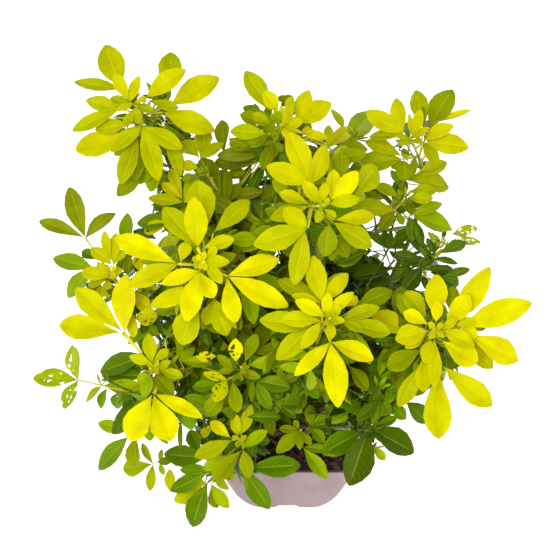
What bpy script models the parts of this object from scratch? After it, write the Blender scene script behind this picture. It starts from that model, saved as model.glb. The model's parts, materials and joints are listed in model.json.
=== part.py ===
"""A potted Mexican orange: an evergreen shrub with golden leaves of three leaflets, in a shallow tray pot.

Metres, +Z up. The origin is the middle of the pot's flat underside. -Y is the front and +X the right.
A bearing is an angle about Z in degrees: 0 points to the front, 90 to the right, 180 to the back.
"""

import math
import random
from collections import namedtuple

import bmesh
import bpy
from mathutils import Matrix, Vector
from mathutils.bvhtree import BVHTree

SEED = 11
GAP = 0.0003  # between solids that rest on each other
CLEARANCE = 0.0004  # kept round each leaf

# Pot: a tray with nearly upright front and back, and ends that curve in to a smaller foot.
POT_HEIGHT = 0.062
RIM_HALF_LENGTH = 0.083
RIM_HALF_DEPTH = 0.063
RIM_CORNER = 0.012
FOOT_HALF_LENGTH = 0.053
FOOT_HALF_DEPTH = 0.058
FOOT_CORNER = 0.016
FLARE_POWER = 0.62  # below 1 the ends are round at the foot and straight at the rim
WALL = 0.0055
OUTER_LEVELS = (0.0, 0.04, 0.12, 0.28, 0.52, 0.76, 1.0)  # shares of the pot's height
INNER_LEVELS = (1.0, 0.855, 0.52, 0.28, 0.12)
INNER_CORNER = 0.004  # the least radius of a corner inside
CORNER_POINTS = 5
NOTCH_LENGTH = 0.023
NOTCH_HEIGHT = 0.0025
NOTCH_DEPTH = 0.028  # across the edge, half of it inside the foot
NOTCH_TAPER = 0.15  # how far its ends slope, as a share of its length

# Soil: fills the pot to a little below the rim, and rises to a low mound under the stem.
SOIL_LEVELS = INNER_LEVELS[:0:-1]
MOUND_RINGS = ((0.80, 0.003), (0.50, 0.0055), (0.25, 0.0065))  # share of the soil's size, rise

# Stem: short and upright, with a flared foot on the soil.
STEM_HEIGHT = 0.052
STEM_TOP_SHIFT = (0.003, -0.004)
STEM_RADII = ((0.0, 0.0125), (0.10, 0.0102), (0.25, 0.0088), (0.6, 0.0080), (1.0, 0.0072))
STEM_SIDES = 4  # bevel resolution, which gives 12 sides

# Boughs
BOUGH_POINTS = 4  # along the bend, besides its two ends
BOUGH_END = 0.005  # the straight stretch at each end
BOUGH_PULL = 0.38  # how far its bend follows each end's heading, as a share of its length
BOUGH_SIDES = 1  # bevel resolution, which gives 6 sides
LEADER_RADIUS = 0.0048
MAIN_BOUGH_RADIUS = 0.0038
SIDE_BOUGH_RADIUS = 0.0027
BOUGH_TIP_RADIUS = 0.0019
BOUGH_START_LEAN = 50.0  # degrees from upright, where a bough leaves the stem
TWIG_LENGTH = 0.045  # a mass's own stem, from its bough's tip to its rosette

# Leaves: opposite pairs, each pair at right angles to the next, closing up towards the tip.
# From the outermost pair inwards: distance below the tip, lean from the twig, petiole, size.
Pair = namedtuple("Pair", "below_tip lean petiole size")
PAIRS = (
    Pair(0.032, 94.0, 0.027, 1.00),
    Pair(0.018, 80.0, 0.020, 1.00),
    Pair(0.010, 60.0, 0.013, 0.82),
    Pair(0.005, 40.0, 0.007, 0.62),
)
LEAFLET_SPREAD = 56.0  # degrees between a side leaflet and the middle one
SIDE_LEAFLET_SIZE = 0.92
LEAFLET_WIDTH = 0.42  # of its length
LEAFLET_WIDEST = 0.58  # of its length, from the root
LEAFLET_THICKNESS = 0.020  # of its length
LEAFLET_FOLD = 0.10  # how far the edges rise above the midrib, as a share of the width
LEAFLET_DROOP = 13.0  # degrees
SIDE_ROLL = 6.0  # degrees that the side leaflets are turned about their midribs
SPREAD_JITTER = 5.0
DROOP_JITTER = 6.0
ROLL_JITTER = 9.0
SIZE_JITTER = 0.06
PETIOLE_SINK = 0.001  # how deep a petiole's foot lies in the twig
ROOT_SINK = 0.0030  # how deep the middle leaflet's root lies in the petiole's end
SIDE_ROOT_BACK = 0.0022  # how far back from the petiole's end the side leaflets leave it
TWIG_RADIUS = 0.0020
TWIG_TIP_RADIUS = 0.0014
PETIOLE_RADIUS = 0.0011
PETIOLE_TIP_RADIUS = 0.0017
FOLD_UP_TRIES = (1.0, 0.82, 0.64)  # a leaf that has no room is held closer to its twig
LOWEST_LEAF = 0.003
FAR_PETIOLE_END = 0.006  # the last stretch of a far leaf's petiole, in line with its middle leaflet
FAR_BELOW_TIP = 0.022  # where a far leaf's petiole leaves the twig
LIGHT = (0.0, 40.0)  # bearing and lean of the light, which the far leaves face

# One row for each mass of foliage: the limb that its bough leaves and how far along it, where the
# rosette opens, the bearing and lean of its twig, the turn of its outermost pair, the length of
# its largest leaflets, how long its petioles are, the number of its leaves, and its colour.
Shoot = namedtuple("Shoot", "name parent along hub bearing lean turn leaf reach leaves tone")
SHOOTS = (
    Shoot("top_middle", "stem", 1.00, (-0.008, 0.010, 0.491), 4, 41, 19, 0.059, 0.8, 6, "gold"),
    Shoot("left_top", "stem", 0.80, (-0.166, 0.066, 0.483), -10, 48, 30, 0.066, 1.0, 6, "gold"),
    Shoot("right_top", "stem", 0.72, (0.133, 0.047, 0.456), -30, 34, 5, 0.056, 1.4, 6, "gold"),
    Shoot("left_middle", "stem", 0.66, (-0.087, -0.131, 0.412), -3, 50, 71, 0.060, 1.4, 6, "gold"),
    Shoot("middle", "stem", 0.72, (0.040, -0.171, 0.372), 18, 39, 82, 0.055, 1.1, 6, "gold"),
    Shoot("right", "stem", 0.56, (0.150, -0.137, 0.333), 10, 40, 33, 0.060, 1.2, 6, "gold"),
    Shoot("left_low", "stem", 0.44, (-0.140, -0.095, 0.200), -60, 50, 20, 0.056, 1.0, 5, "green"),
    Shoot("low_left", "stem", 0.24, (-0.092, -0.121, 0.112), -35, 60, 76, 0.052, 0.9, 4, "green"),
    Shoot("low_right", "stem", 0.34, (0.091, -0.121, 0.180), 30, 55, 65, 0.060, 0.9, 4, "deep"),
    Shoot("soil_shoot", "stem", 0.14, (0.015, -0.076, 0.141), 0, 30, 33, 0.044, 0.7, 4, "lime"),
    Shoot("back_high", "stem", 0.60, (0.050, 0.155, 0.350), 165, 35, 15, 0.068, 1.1, 5, "lime"),
    Shoot("back_low_left", "stem", 0.52, (-0.120, 0.110, 0.210), -140, 50, 40, 0.066, 1.1, 5, "green"),
    Shoot("back_low", "stem", 0.30, (0.030, 0.150, 0.190), 172, 55, 70, 0.066, 1.0, 5, "green"),
    Shoot("upper_middle", "top_middle", 0.45, (0.034, -0.102, 0.461), 25, 58, 33, 0.061, 0.8, 6, "gold"),
    Shoot("top_back", "top_middle", 0.55, (0.074, 0.071, 0.438), 130, 34, 62, 0.054, 1.4, 5, "lime"),
    Shoot("back_top", "top_middle", 0.36, (0.005, 0.125, 0.425), 178, 32, 50, 0.062, 1.1, 5, "lime"),
    Shoot("left_back", "left_top", 0.50, (-0.088, 0.035, 0.415), -60, 25, 43, 0.054, 1.2, 5, "lime"),
    Shoot("right_upper", "right_top", 0.70, (0.127, 0.016, 0.394), 60, 35, 59, 0.052, 1.2, 4, "lime"),
    Shoot("right_dark", "right_top", 0.45, (0.155, 0.000, 0.331), 75, 40, 24, 0.047, 0.9, 5, "deep"),
    Shoot("left", "left_middle", 0.50, (-0.146, -0.137, 0.281), -30, 40, 30, 0.046, 1.0, 4, "gold"),
    Shoot("low_middle", "left_middle", 0.38, (-0.050, -0.140, 0.285), -10, 38, 81, 0.050, 0.9, 5, "lime"),
    Shoot("inner_right", "middle", 0.45, (0.085, -0.050, 0.310), 60, 30, 50, 0.054, 1.0, 5, "deep"),
    Shoot("right_low", "right", 0.50, (0.096, -0.126, 0.245), 25, 42, 51, 0.056, 1.1, 5, "green"),
    Shoot("left_upper", "left_low", 0.45, (-0.196, -0.045, 0.343), -70, 25, 3, 0.050, 1.2, 5, "lime"),
    Shoot("far_left", "left_low", 0.60, (-0.200, -0.092, 0.228), -80, 50, 10, 0.030, 0.8, 3, "green"),
    Shoot("front_low", "low_left", 0.35, (-0.053, -0.135, 0.179), -15, 50, 32, 0.050, 0.9, 5, "lime"),
    Shoot("back_left", "back_high", 0.50, (-0.085, 0.145, 0.320), -155, 38, 25, 0.068, 1.1, 5, "lime"),
    Shoot("back_right", "back_high", 0.40, (0.130, 0.110, 0.250), 125, 50, 55, 0.066, 1.1, 5, "green"),
)

# Leaves that reach out of their rosettes: the mass, where the three leaflets meet, and the tip
# of the middle one.
FarLeaf = namedtuple("FarLeaf", "shoot hub tip")
FAR_LEAVES = (
    FarLeaf("right", (0.186, -0.151, 0.347), (0.246, -0.138, 0.367)),
    FarLeaf("right", (0.150, -0.187, 0.297), (0.151, -0.210, 0.247)),
    FarLeaf("right", (0.157, -0.168, 0.306), (0.207, -0.190, 0.274)),
    FarLeaf("left", (-0.172, -0.139, 0.330), (-0.222, -0.107, 0.359)),
    FarLeaf("left", (-0.139, -0.175, 0.279), (-0.126, -0.181, 0.217)),
    FarLeaf("left_upper", (-0.223, -0.008, 0.360), (-0.244, 0.041, 0.395)),
    FarLeaf("far_left", (-0.232, -0.097, 0.233), (-0.280, -0.095, 0.236)),
    FarLeaf("left_low", (-0.178, -0.141, 0.188), (-0.208, -0.153, 0.153)),
    FarLeaf("left_low", (-0.150, -0.135, 0.144), (-0.184, -0.139, 0.138)),
    FarLeaf("right_dark", (0.189, 0.007, 0.346), (0.211, 0.016, 0.359)),
    FarLeaf("low_right", (0.091, -0.136, 0.195), (0.067, -0.150, 0.123)),
    FarLeaf("low_left", (-0.090, -0.147, 0.127), (-0.108, -0.154, 0.065)),
    FarLeaf("left_top", (-0.179, 0.104, 0.486), (-0.203, 0.151, 0.517)),
    FarLeaf("left_top", (-0.137, 0.063, 0.480), (-0.076, 0.092, 0.503)),
    FarLeaf("front_low", (-0.047, -0.139, 0.138), (-0.020, -0.150, 0.088)),
    FarLeaf("soil_shoot", (0.018, -0.102, 0.139), (0.043, -0.124, 0.107)),
)

# Colour, roughness and metallic value of each material.
FINISHES = {
    "pot": ((0.46, 0.36, 0.375), 0.62, 0.0),
    "soil": ((0.045, 0.026, 0.016), 0.95, 0.0),
    "bark": ((0.16, 0.11, 0.06), 0.85, 0.0),
    "gold": ((0.75, 0.72, 0.01), 0.45, 0.0),
    "lime": ((0.38, 0.47, 0.01), 0.45, 0.0),
    "green": ((0.16, 0.31, 0.01), 0.42, 0.0),
    "deep": ((0.04, 0.12, 0.01), 0.40, 0.0),
}


# Scene and materials
def clear_scene():
    for obj in list(bpy.data.objects):
        bpy.data.objects.remove(obj, do_unlink=True)


def new_collection(name):
    collection = bpy.data.collections.new(name)
    bpy.context.scene.collection.children.link(collection)
    return collection


def finish(name):
    """The material of that name, made on first use."""
    material = bpy.data.materials.get(name)
    if material is None:
        colour, roughness, metallic = FINISHES[name]
        material = bpy.data.materials.new(name)
        material.use_nodes = True
        shader = material.node_tree.nodes["Principled BSDF"]
        shader.inputs["Base Color"].default_value = (*colour, 1.0)
        shader.inputs["Roughness"].default_value = roughness
        shader.inputs["Metallic"].default_value = metallic
    return material


def new_object(name, mesh, collection, finish_name=None):
    obj = bpy.data.objects.new(name, mesh)
    collection.objects.link(obj)
    if finish_name:
        mesh.materials.clear()
        mesh.materials.append(finish(finish_name))
    return obj


def mesh_from(bm, name):
    mesh = bpy.data.meshes.new(name)
    bm.to_mesh(mesh)
    bm.free()
    return mesh


def evaluated_mesh(obj):
    """A new mesh of the object as its modifiers and curve settings leave it."""
    bpy.context.view_layer.update()
    return bpy.data.meshes.new_from_object(obj.evaluated_get(bpy.context.evaluated_depsgraph_get()))


def pointing(bearing, lean):
    """The unit vector that leans from upright towards a bearing."""
    turn, tilt = math.radians(bearing), math.radians(lean)
    return Vector((math.sin(tilt) * math.sin(turn), -math.sin(tilt) * math.cos(turn), math.cos(tilt)))


# Pot and soil
def pot_size(share):
    """Half length, half depth and corner radius of the pot's outside at a share of its height."""
    flare = share**FLARE_POWER
    return (
        FOOT_HALF_LENGTH + (RIM_HALF_LENGTH - FOOT_HALF_LENGTH) * flare,
        FOOT_HALF_DEPTH + (RIM_HALF_DEPTH - FOOT_HALF_DEPTH) * flare,
        FOOT_CORNER + (RIM_CORNER - FOOT_CORNER) * flare,
    )


def ring_of(half_length, half_depth, corner, height):
    """The points of a rectangle with round corners, anticlockwise from above."""
    points = []
    for quarter, (x_side, y_side) in enumerate(((1, 1), (-1, 1), (-1, -1), (1, -1))):
        for step in range(CORNER_POINTS):
            angle = math.pi / 2 * (quarter + step / (CORNER_POINTS - 1))
            x = x_side * (half_length - corner) + corner * math.cos(angle)
            y = y_side * (half_depth - corner) + corner * math.sin(angle)
            points.append(Vector((x, y, height)))
    return points


def wall_ring(share, inset):
    """A ring that lies inset from the pot's outside at a share of its height."""
    half_length, half_depth, corner = pot_size(share)
    corner = max(corner - inset, INNER_CORNER)
    return ring_of(half_length - inset, half_depth - inset, corner, POT_HEIGHT * share)


def loft(rings):
    """A closed body through rings of equal counts, which run from its underside up."""
    bm = bmesh.new()
    loops = [[bm.verts.new(point) for point in ring] for ring in rings]
    count = len(loops[0])
    for low, high in zip(loops, loops[1:]):
        for i in range(count):
            j = (i + 1) % count
            bm.faces.new((low[i], low[j], high[j], high[i]))
    bm.faces.new(reversed(loops[0]))
    bm.faces.new(loops[-1])
    return bm


def notch_cutter(name, middle, along_x, collection):
    """A low block with sloping ends, across one edge of the foot."""
    bm = bmesh.new()
    bmesh.ops.create_cube(bm, size=1.0)
    for vert in bm.verts:
        taper = 1.0 - NOTCH_TAPER if vert.co.z > 0 else 1.0 + NOTCH_TAPER
        vert.co = Vector((
            vert.co.x * NOTCH_LENGTH * taper,
            vert.co.y * NOTCH_DEPTH,
            vert.co.z * 2.0 * NOTCH_HEIGHT,
        ))
    if not along_x:
        bmesh.ops.rotate(bm, verts=bm.verts, matrix=Matrix.Rotation(math.pi / 2, 3, "Z"))
    bmesh.ops.translate(bm, verts=bm.verts, vec=middle)
    cutter = new_object(name, mesh_from(bm, name), collection)
    cutter.hide_render = True
    cutter.display_type = "WIRE"
    return cutter


def make_pot(parts, cutters):
    rings = [wall_ring(share, 0.0) for share in OUTER_LEVELS]
    rings += [wall_ring(share, WALL) for share in INNER_LEVELS]
    pot = new_object("pot", mesh_from(loft(rings), "pot"), parts, "pot")
    edges = (
        ("notch_front", Vector((0, -FOOT_HALF_DEPTH, 0)), True),
        ("notch_back", Vector((0, FOOT_HALF_DEPTH, 0)), True),
        ("notch_left", Vector((-FOOT_HALF_LENGTH, 0, 0)), False),
        ("notch_right", Vector((FOOT_HALF_LENGTH, 0, 0)), False),
    )
    for name, middle, along_x in edges:
        cutter = notch_cutter(name, middle, along_x, cutters)
        cut = pot.modifiers.new(name, "BOOLEAN")
        cut.operation = "DIFFERENCE"
        cut.object = cutter
        cut.solver = "EXACT"
    return pot


def make_soil(parts):
    """The soil, and the height of its flat top."""
    inset = WALL + GAP
    rings = [wall_ring(share, inset) for share in SOIL_LEVELS]
    rings[0] = [Vector((p.x, p.y, p.z + GAP)) for p in rings[0]]
    edge = rings[-1]
    for share, rise in MOUND_RINGS:
        rings.append([Vector((p.x * share, p.y * share, p.z + rise)) for p in edge])
    new_object("soil", mesh_from(loft(rings), "soil"), parts, "soil")
    return rings[-1][0].z


# Stem and boughs
Limb = namedtuple("Limb", "points radii")


def limb_mesh(limb, sides, swell=0.0):
    """A closed tapering tube along a limb's points."""
    curve = bpy.data.curves.new("limb", "CURVE")
    curve.dimensions = "3D"
    curve.bevel_depth = 1.0
    curve.bevel_resolution = sides
    curve.use_fill_caps = True
    spline = curve.splines.new("POLY")
    spline.points.add(len(limb.points) - 1)
    for point, place, radius in zip(spline.points, limb.points, limb.radii):
        point.co = (*place, 1.0)
        point.radius = radius + swell
    obj = bpy.data.objects.new("limb", curve)
    bpy.context.scene.collection.objects.link(obj)
    mesh = evaluated_mesh(obj)
    bpy.data.objects.remove(obj, do_unlink=True)
    bm = bmesh.new()
    bm.from_mesh(mesh)
    bpy.data.meshes.remove(mesh)
    bmesh.ops.remove_doubles(bm, verts=bm.verts, dist=0.00001)
    bmesh.ops.recalc_face_normals(bm, faces=bm.faces)
    return mesh_from(bm, "limb")


def stem_limb(foot_height):
    """The stem, upright as far as its root flare and then leaning a little."""
    flare_top = STEM_RADII[1][0]
    points = []
    for share, _ in STEM_RADII:
        lean = max(share - flare_top, 0.0) / (1.0 - flare_top)
        shift_x, shift_y = (lean * shift for shift in STEM_TOP_SHIFT)
        points.append(Vector((shift_x, shift_y, foot_height + STEM_HEIGHT * share)))
    return Limb(points, [radius for _, radius in STEM_RADII])


def at(limb, share):
    """The place and radius at a share of a limb's length."""
    spans = [(b - a).length for a, b in zip(limb.points, limb.points[1:])]
    left = share * sum(spans)
    for i, span in enumerate(spans):
        if left <= span or i == len(spans) - 1:
            t = min(left / span, 1.0)
            radius = limb.radii[i] + (limb.radii[i + 1] - limb.radii[i]) * t
            return limb.points[i].lerp(limb.points[i + 1], t), radius
        left -= span
    return limb.points[-1], limb.radii[-1]


def bough_limb(start, heading, end, arrival, radius):
    """A limb that leaves start along heading and reaches end along arrival, in one smooth bend.

    Its first and last stretches are short and straight, so that its ends are square to them.
    """
    low, high = start + heading * BOUGH_END, end - arrival * BOUGH_END
    pull = BOUGH_PULL * (high - low).length
    a, b = low + heading * pull, high - arrival * pull
    points = [start]
    for i in range(BOUGH_POINTS):
        t = i / (BOUGH_POINTS - 1)
        s = 1.0 - t
        points.append(low * s**3 + a * 3 * s * s * t + b * 3 * s * t * t + high * t**3)
    points.append(end)
    steps = len(points) - 1
    radii = [radius + (BOUGH_TIP_RADIUS - radius) * i / steps for i in range(steps + 1)]
    return Limb(points, radii)


def route_of(shoot, limbs):
    """The limb that carries a shoot's rosette, from its parent limb to the foot of its twig."""
    parent = limbs[shoot.parent]
    hub = Vector(shoot.hub)
    arrival = pointing(shoot.bearing, shoot.lean)
    end = hub - arrival * TWIG_LENGTH
    start, parent_radius = at(parent, shoot.along)
    from_stem = shoot.parent == "stem"
    if from_stem and shoot.along == 1.0:
        heading = (parent.points[-1] - parent.points[-2]).normalized()
        start = start + heading * GAP
        radius = LEADER_RADIUS
    else:
        away = end - start
        bearing = math.degrees(math.atan2(away.x, -away.y))
        heading = pointing(bearing, BOUGH_START_LEAN)
        if not from_stem:
            heading = (heading + away.normalized()).normalized()
        radius = MAIN_BOUGH_RADIUS if from_stem else min(SIDE_BOUGH_RADIUS, parent_radius)
    return bough_limb(start, heading, end, arrival, radius)


def cut_clear(obj, cutting_mesh, collection):
    """Takes a swollen copy of a neighbour out of an object, and drops the scrap."""
    cutter = bpy.data.objects.new("cutter", cutting_mesh)
    collection.objects.link(cutter)
    cut = obj.modifiers.new("cut", "BOOLEAN")
    cut.operation = "DIFFERENCE"
    cut.solver = "EXACT"
    cut.object = cutter
    mesh = evaluated_mesh(obj)
    obj.modifiers.clear()
    bpy.data.objects.remove(cutter, do_unlink=True)
    bm = bmesh.new()
    bm.from_mesh(mesh)
    bpy.data.meshes.remove(mesh)
    keep_largest_shell(bm)
    bm.to_mesh(obj.data)
    bm.free()


def keep_largest_shell(bm):
    """Drops every closed shell but the one of the largest volume: loose scrap and sealed hollows."""
    bm.faces.ensure_lookup_table()
    seen = set()
    shells = []
    for face in bm.faces:
        if face.index in seen:
            continue
        seen.add(face.index)
        shell = [face]
        for member in shell:
            for edge in member.edges:
                for neighbour in edge.link_faces:
                    if neighbour.index not in seen:
                        seen.add(neighbour.index)
                        shell.append(neighbour)
        shells.append(shell)
    shells.sort(key=shell_volume)
    for shell in shells[:-1]:
        bmesh.ops.delete(bm, geom=shell, context="FACES")


def shell_volume(shell):
    volume = 0.0
    for face in shell:
        first = face.verts[0].co
        for a, b in zip(face.verts[1:], face.verts[2:]):
            volume += first.dot(a.co.cross(b.co)) / 6.0
    return volume


def make_limbs(parts, foot_height):
    """The stem and every bough. Returns each limb by the name of its shoot."""
    limbs = {"stem": stem_limb(foot_height)}
    stem = new_object("stem", limb_mesh(limbs["stem"], STEM_SIDES), parts, "bark")
    objects = {"stem": stem}
    for shoot in SHOOTS:
        limb = route_of(shoot, limbs)
        limbs[shoot.name] = limb
        name = "bough_" + shoot.name
        obj = new_object(name, limb_mesh(limb, BOUGH_SIDES), parts, "bark")
        objects[shoot.name] = obj
        if shoot.along < 1.0:
            sides = STEM_SIDES if shoot.parent == "stem" else BOUGH_SIDES
            cut_clear(obj, limb_mesh(limbs[shoot.parent], sides, GAP), parts)
    for obj in objects.values():
        obj.data.shade_smooth()
        obj.data.set_sharp_from_angle(angle=math.radians(50))
    return limbs, list(objects.values())


# Foliage
def rod_between(foot, tip, foot_radius, tip_radius):
    """A three-sided tapering rod."""
    bm = bmesh.new()
    length = (tip - foot).length
    bmesh.ops.create_cone(
        bm, cap_ends=True, segments=3, radius1=foot_radius, radius2=tip_radius, depth=length
    )
    turn = (tip - foot).to_track_quat("Z", "Y").to_matrix()
    bmesh.ops.rotate(bm, verts=bm.verts, matrix=turn)
    bmesh.ops.translate(bm, verts=bm.verts, vec=(foot + tip) / 2)
    return bm


def leaflet(root, along, up, length):
    """A thin blade of eight faces, folded a little along its midrib."""
    bm = bmesh.new()
    bmesh.ops.create_uvsphere(bm, u_segments=4, v_segments=2, radius=1.0)
    across = up.cross(along).normalized()
    width = length * LEAFLET_WIDTH
    for vert in bm.verts:
        x, y, z = vert.co
        reach = 0.5 * (x + 1.0) if abs(x) > 0.5 else LEAFLET_WIDEST
        rise = z * 0.5 * LEAFLET_THICKNESS * length + abs(y) * LEAFLET_FOLD * width
        vert.co = root + along * (reach * length) + across * (0.5 * y * width) + up * rise
    return bm


def turned(axis, degrees, spread, jitter):
    """A rotation about an axis, by an angle that strays up to spread degrees."""
    return Matrix.Rotation(math.radians(degrees + jitter.uniform(-spread, spread)), 3, axis)


def leaf(node, along, up, petiole, length, jitter):
    """One leaf: its petiole, and three leaflets whose roots are sunk in the petiole's end."""
    hub = node + along * petiole
    pieces = [rod_between(node - along * PETIOLE_SINK, hub, PETIOLE_RADIUS, PETIOLE_TIP_RADIUS)]
    for side in (0, -1, 1):
        blade = turned(up, side * LEAFLET_SPREAD, SPREAD_JITTER, jitter) @ along
        across = up.cross(blade).normalized()
        droop = turned(across, LEAFLET_DROOP, DROOP_JITTER, jitter)
        roll = turned(blade, side * SIDE_ROLL, ROLL_JITTER, jitter)
        size = length * (SIDE_LEAFLET_SIZE if side else 1.0)
        size *= 1.0 + jitter.uniform(-SIZE_JITTER, SIZE_JITTER)
        blade = droop @ blade
        face = roll @ (droop @ up)
        root = hub - along * (SIDE_ROOT_BACK if side else ROOT_SINK)
        pieces.append(leaflet(root, blade, face, size))
    return pieces


def swollen_tree(bm):
    """A search tree of a piece grown by the clearance."""
    grown = bm.copy()
    grown.normal_update()
    for vert in grown.verts:
        vert.co += vert.normal * CLEARANCE
    tree = BVHTree.FromBMesh(grown)
    grown.free()
    return tree


def has_room(bm, obstacles):
    if min(vert.co.z for vert in bm.verts) < LOWEST_LEAF:
        return False
    tree = swollen_tree(bm)
    return not any(tree.overlap(other) for other in obstacles)


def with_room(pieces, obstacles, own):
    """The pieces of a leaf that have room, or none if its petiole or two leaflets have none."""
    roomy = [has_room(pieces[0], obstacles)]
    roomy += [has_room(piece, obstacles + own) for piece in pieces[1:]]
    if not roomy[0] or sum(roomy) < 3:
        return []
    return [piece for piece, fits in zip(pieces, roomy) if fits]


def rosette_leaf(node, axis, outward, pair, shoot, obstacles, own, seed):
    """A leaf of a pair, tried closer and closer to the twig until it has room."""
    for share in FOLD_UP_TRIES:
        lean = math.radians(pair.lean * share)
        along = axis * math.cos(lean) + outward * math.sin(lean)
        up = axis * math.sin(lean) - outward * math.cos(lean)
        petiole, length = pair.petiole * shoot.reach, shoot.leaf * pair.size
        pieces = leaf(node, along, up, petiole, length, random.Random(seed))
        found = with_room(pieces, obstacles, own)
        if found:
            return found
    return []


def far_leaf(node, far, obstacles, own, seed):
    """A leaf on a long petiole, which ends where the far leaf's place says."""
    hub, tip = Vector(far.hub), Vector(far.tip)
    along = (tip - hub).normalized()
    light = pointing(*LIGHT)
    up = (light - along * light.dot(along)).normalized()
    bend = hub - along * FAR_PETIOLE_END
    pieces = leaf(bend, along, up, FAR_PETIOLE_END, (tip - hub).length, random.Random(seed))
    petiole = rod_between(node, bend + along * PETIOLE_SINK, PETIOLE_RADIUS, PETIOLE_RADIUS)
    return with_room([petiole] + pieces, obstacles, own)


def foliage_pieces(shoot, number, obstacles):
    """The twig of a mass, and its leaves that have room, as separate pieces."""
    axis = pointing(shoot.bearing, shoot.lean)
    hub = Vector(shoot.hub)
    foot = hub - axis * (TWIG_LENGTH - GAP)
    pieces = [rod_between(foot, hub, TWIG_RADIUS, TWIG_TIP_RADIUS)]
    side = axis.cross(Vector((0, 0, 1))).normalized()
    front = axis.cross(side)
    own = []
    for far in FAR_LEAVES:
        if far.shoot == shoot.name:
            seed = SEED + 1000 * number + 500 + len(pieces)
            found = far_leaf(hub - axis * FAR_BELOW_TIP, far, obstacles, own, seed)
            own += [BVHTree.FromBMesh(piece) for piece in found]
            pieces += found
    for i in range(shoot.leaves):
        k, half = divmod(i, 2)
        angle = math.radians(shoot.turn + 90 * k + 180 * half)
        outward = side * math.cos(angle) + front * math.sin(angle)
        node = hub - axis * PAIRS[k].below_tip
        seed = SEED + 1000 * number + i
        found = rosette_leaf(node, axis, outward, PAIRS[k], shoot, obstacles, own, seed)
        own += [BVHTree.FromBMesh(piece) for piece in found]
        pieces += found
    return pieces


def union_of(pieces, solver):
    """The pieces joined by one Boolean union on a collection, as a bmesh."""
    collection = new_collection("leaves")
    for i, bm in enumerate(pieces[1:]):
        new_object(f"leaf_piece_{i}", mesh_from(bm.copy(), "leaf_piece"), collection)
    twig = new_object("twig", mesh_from(pieces[0].copy(), "twig"), bpy.context.scene.collection)
    join = twig.modifiers.new("join", "BOOLEAN")
    join.operation = "UNION"
    join.operand_type = "COLLECTION"
    join.collection = collection
    join.solver = solver
    mesh = evaluated_mesh(twig)
    for obj in list(collection.objects) + [twig]:
        bpy.data.objects.remove(obj, do_unlink=True)
    bpy.data.collections.remove(collection)
    bm = bmesh.new()
    bm.from_mesh(mesh)
    bpy.data.meshes.remove(mesh)
    bmesh.ops.triangulate(bm, faces=bm.faces)
    return bm


def fuse(pieces):
    """One closed body from pieces that run into each other. A mass that fails gets fewer leaves."""
    while True:
        for solver in ("EXACT", "MANIFOLD"):
            bm = union_of(pieces, solver)
            if len(bm.faces) and all(edge.is_manifold for edge in bm.edges):
                keep_largest_shell(bm)
                return bm
            bm.free()
        pieces = pieces[:-1]


def make_foliage(parts, fixed):
    obstacles = [BVHTree.FromObject(obj, bpy.context.evaluated_depsgraph_get()) for obj in fixed]
    for number, shoot in enumerate(SHOOTS):
        name = "foliage_" + shoot.name
        bm = fuse(foliage_pieces(shoot, number, obstacles))
        obstacles.append(BVHTree.FromBMesh(bm))
        new_object(name, mesh_from(bm, name), parts, shoot.tone)


def main():
    clear_scene()
    parts = new_collection("potted_mexican_orange")
    cutters = new_collection("cutters")
    pot = make_pot(parts, cutters)
    soil_top = make_soil(parts)
    limbs, limb_objects = make_limbs(parts, soil_top + GAP)
    bpy.context.view_layer.update()
    make_foliage(parts, [pot, parts.objects["soil"]] + limb_objects)


main()
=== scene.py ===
# %% [markdown]
# # A potted Mexican orange, grown leaf by leaf
# The subject is a small evergreen shrub with golden leaves of three leaflets, in a shallow tray pot.
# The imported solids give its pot, soil, stem, boughs and one simple body for each mass of foliage.
# This lesson keeps their places and sizes, and replaces each with a finer piece: bark with relief,
# leaves with folded blades and veins, soil with bark chips, and a pot with softened edges.
# Metres, +Z up. The origin is the middle of the pot's underside, and -Y is the front.

# %% The frame
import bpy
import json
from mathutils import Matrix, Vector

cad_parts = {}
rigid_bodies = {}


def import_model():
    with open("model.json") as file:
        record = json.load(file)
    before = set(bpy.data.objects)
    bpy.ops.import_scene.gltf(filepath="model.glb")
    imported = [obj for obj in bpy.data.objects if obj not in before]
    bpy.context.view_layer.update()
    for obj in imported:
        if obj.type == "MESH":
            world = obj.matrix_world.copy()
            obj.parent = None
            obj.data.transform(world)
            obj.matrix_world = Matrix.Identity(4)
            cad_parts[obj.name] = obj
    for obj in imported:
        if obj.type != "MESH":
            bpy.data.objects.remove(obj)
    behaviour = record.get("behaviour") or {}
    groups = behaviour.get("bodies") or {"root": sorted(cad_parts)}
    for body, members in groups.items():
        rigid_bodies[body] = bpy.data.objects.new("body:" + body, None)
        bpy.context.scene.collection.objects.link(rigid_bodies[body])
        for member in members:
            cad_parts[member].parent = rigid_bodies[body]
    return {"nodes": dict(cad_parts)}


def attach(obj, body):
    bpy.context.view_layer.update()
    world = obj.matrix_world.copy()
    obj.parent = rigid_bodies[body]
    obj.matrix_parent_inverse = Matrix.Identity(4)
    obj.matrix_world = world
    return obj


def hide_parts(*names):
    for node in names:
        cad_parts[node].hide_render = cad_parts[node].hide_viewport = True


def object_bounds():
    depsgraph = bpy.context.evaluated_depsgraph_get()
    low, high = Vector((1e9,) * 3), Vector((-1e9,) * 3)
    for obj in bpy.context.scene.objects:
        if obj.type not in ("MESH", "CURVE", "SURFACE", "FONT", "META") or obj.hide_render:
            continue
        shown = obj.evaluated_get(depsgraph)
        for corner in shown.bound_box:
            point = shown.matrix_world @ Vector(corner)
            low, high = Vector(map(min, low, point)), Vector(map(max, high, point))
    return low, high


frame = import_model()
cad_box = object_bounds()
print("nodes", len(frame["nodes"]), "box", [list(corner) for corner in cad_box])

# %% The tools
import json
import math
import random
from collections import namedtuple

import bmesh
import bpy
from mathutils import Matrix, Vector, noise

SEED = 11


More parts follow.
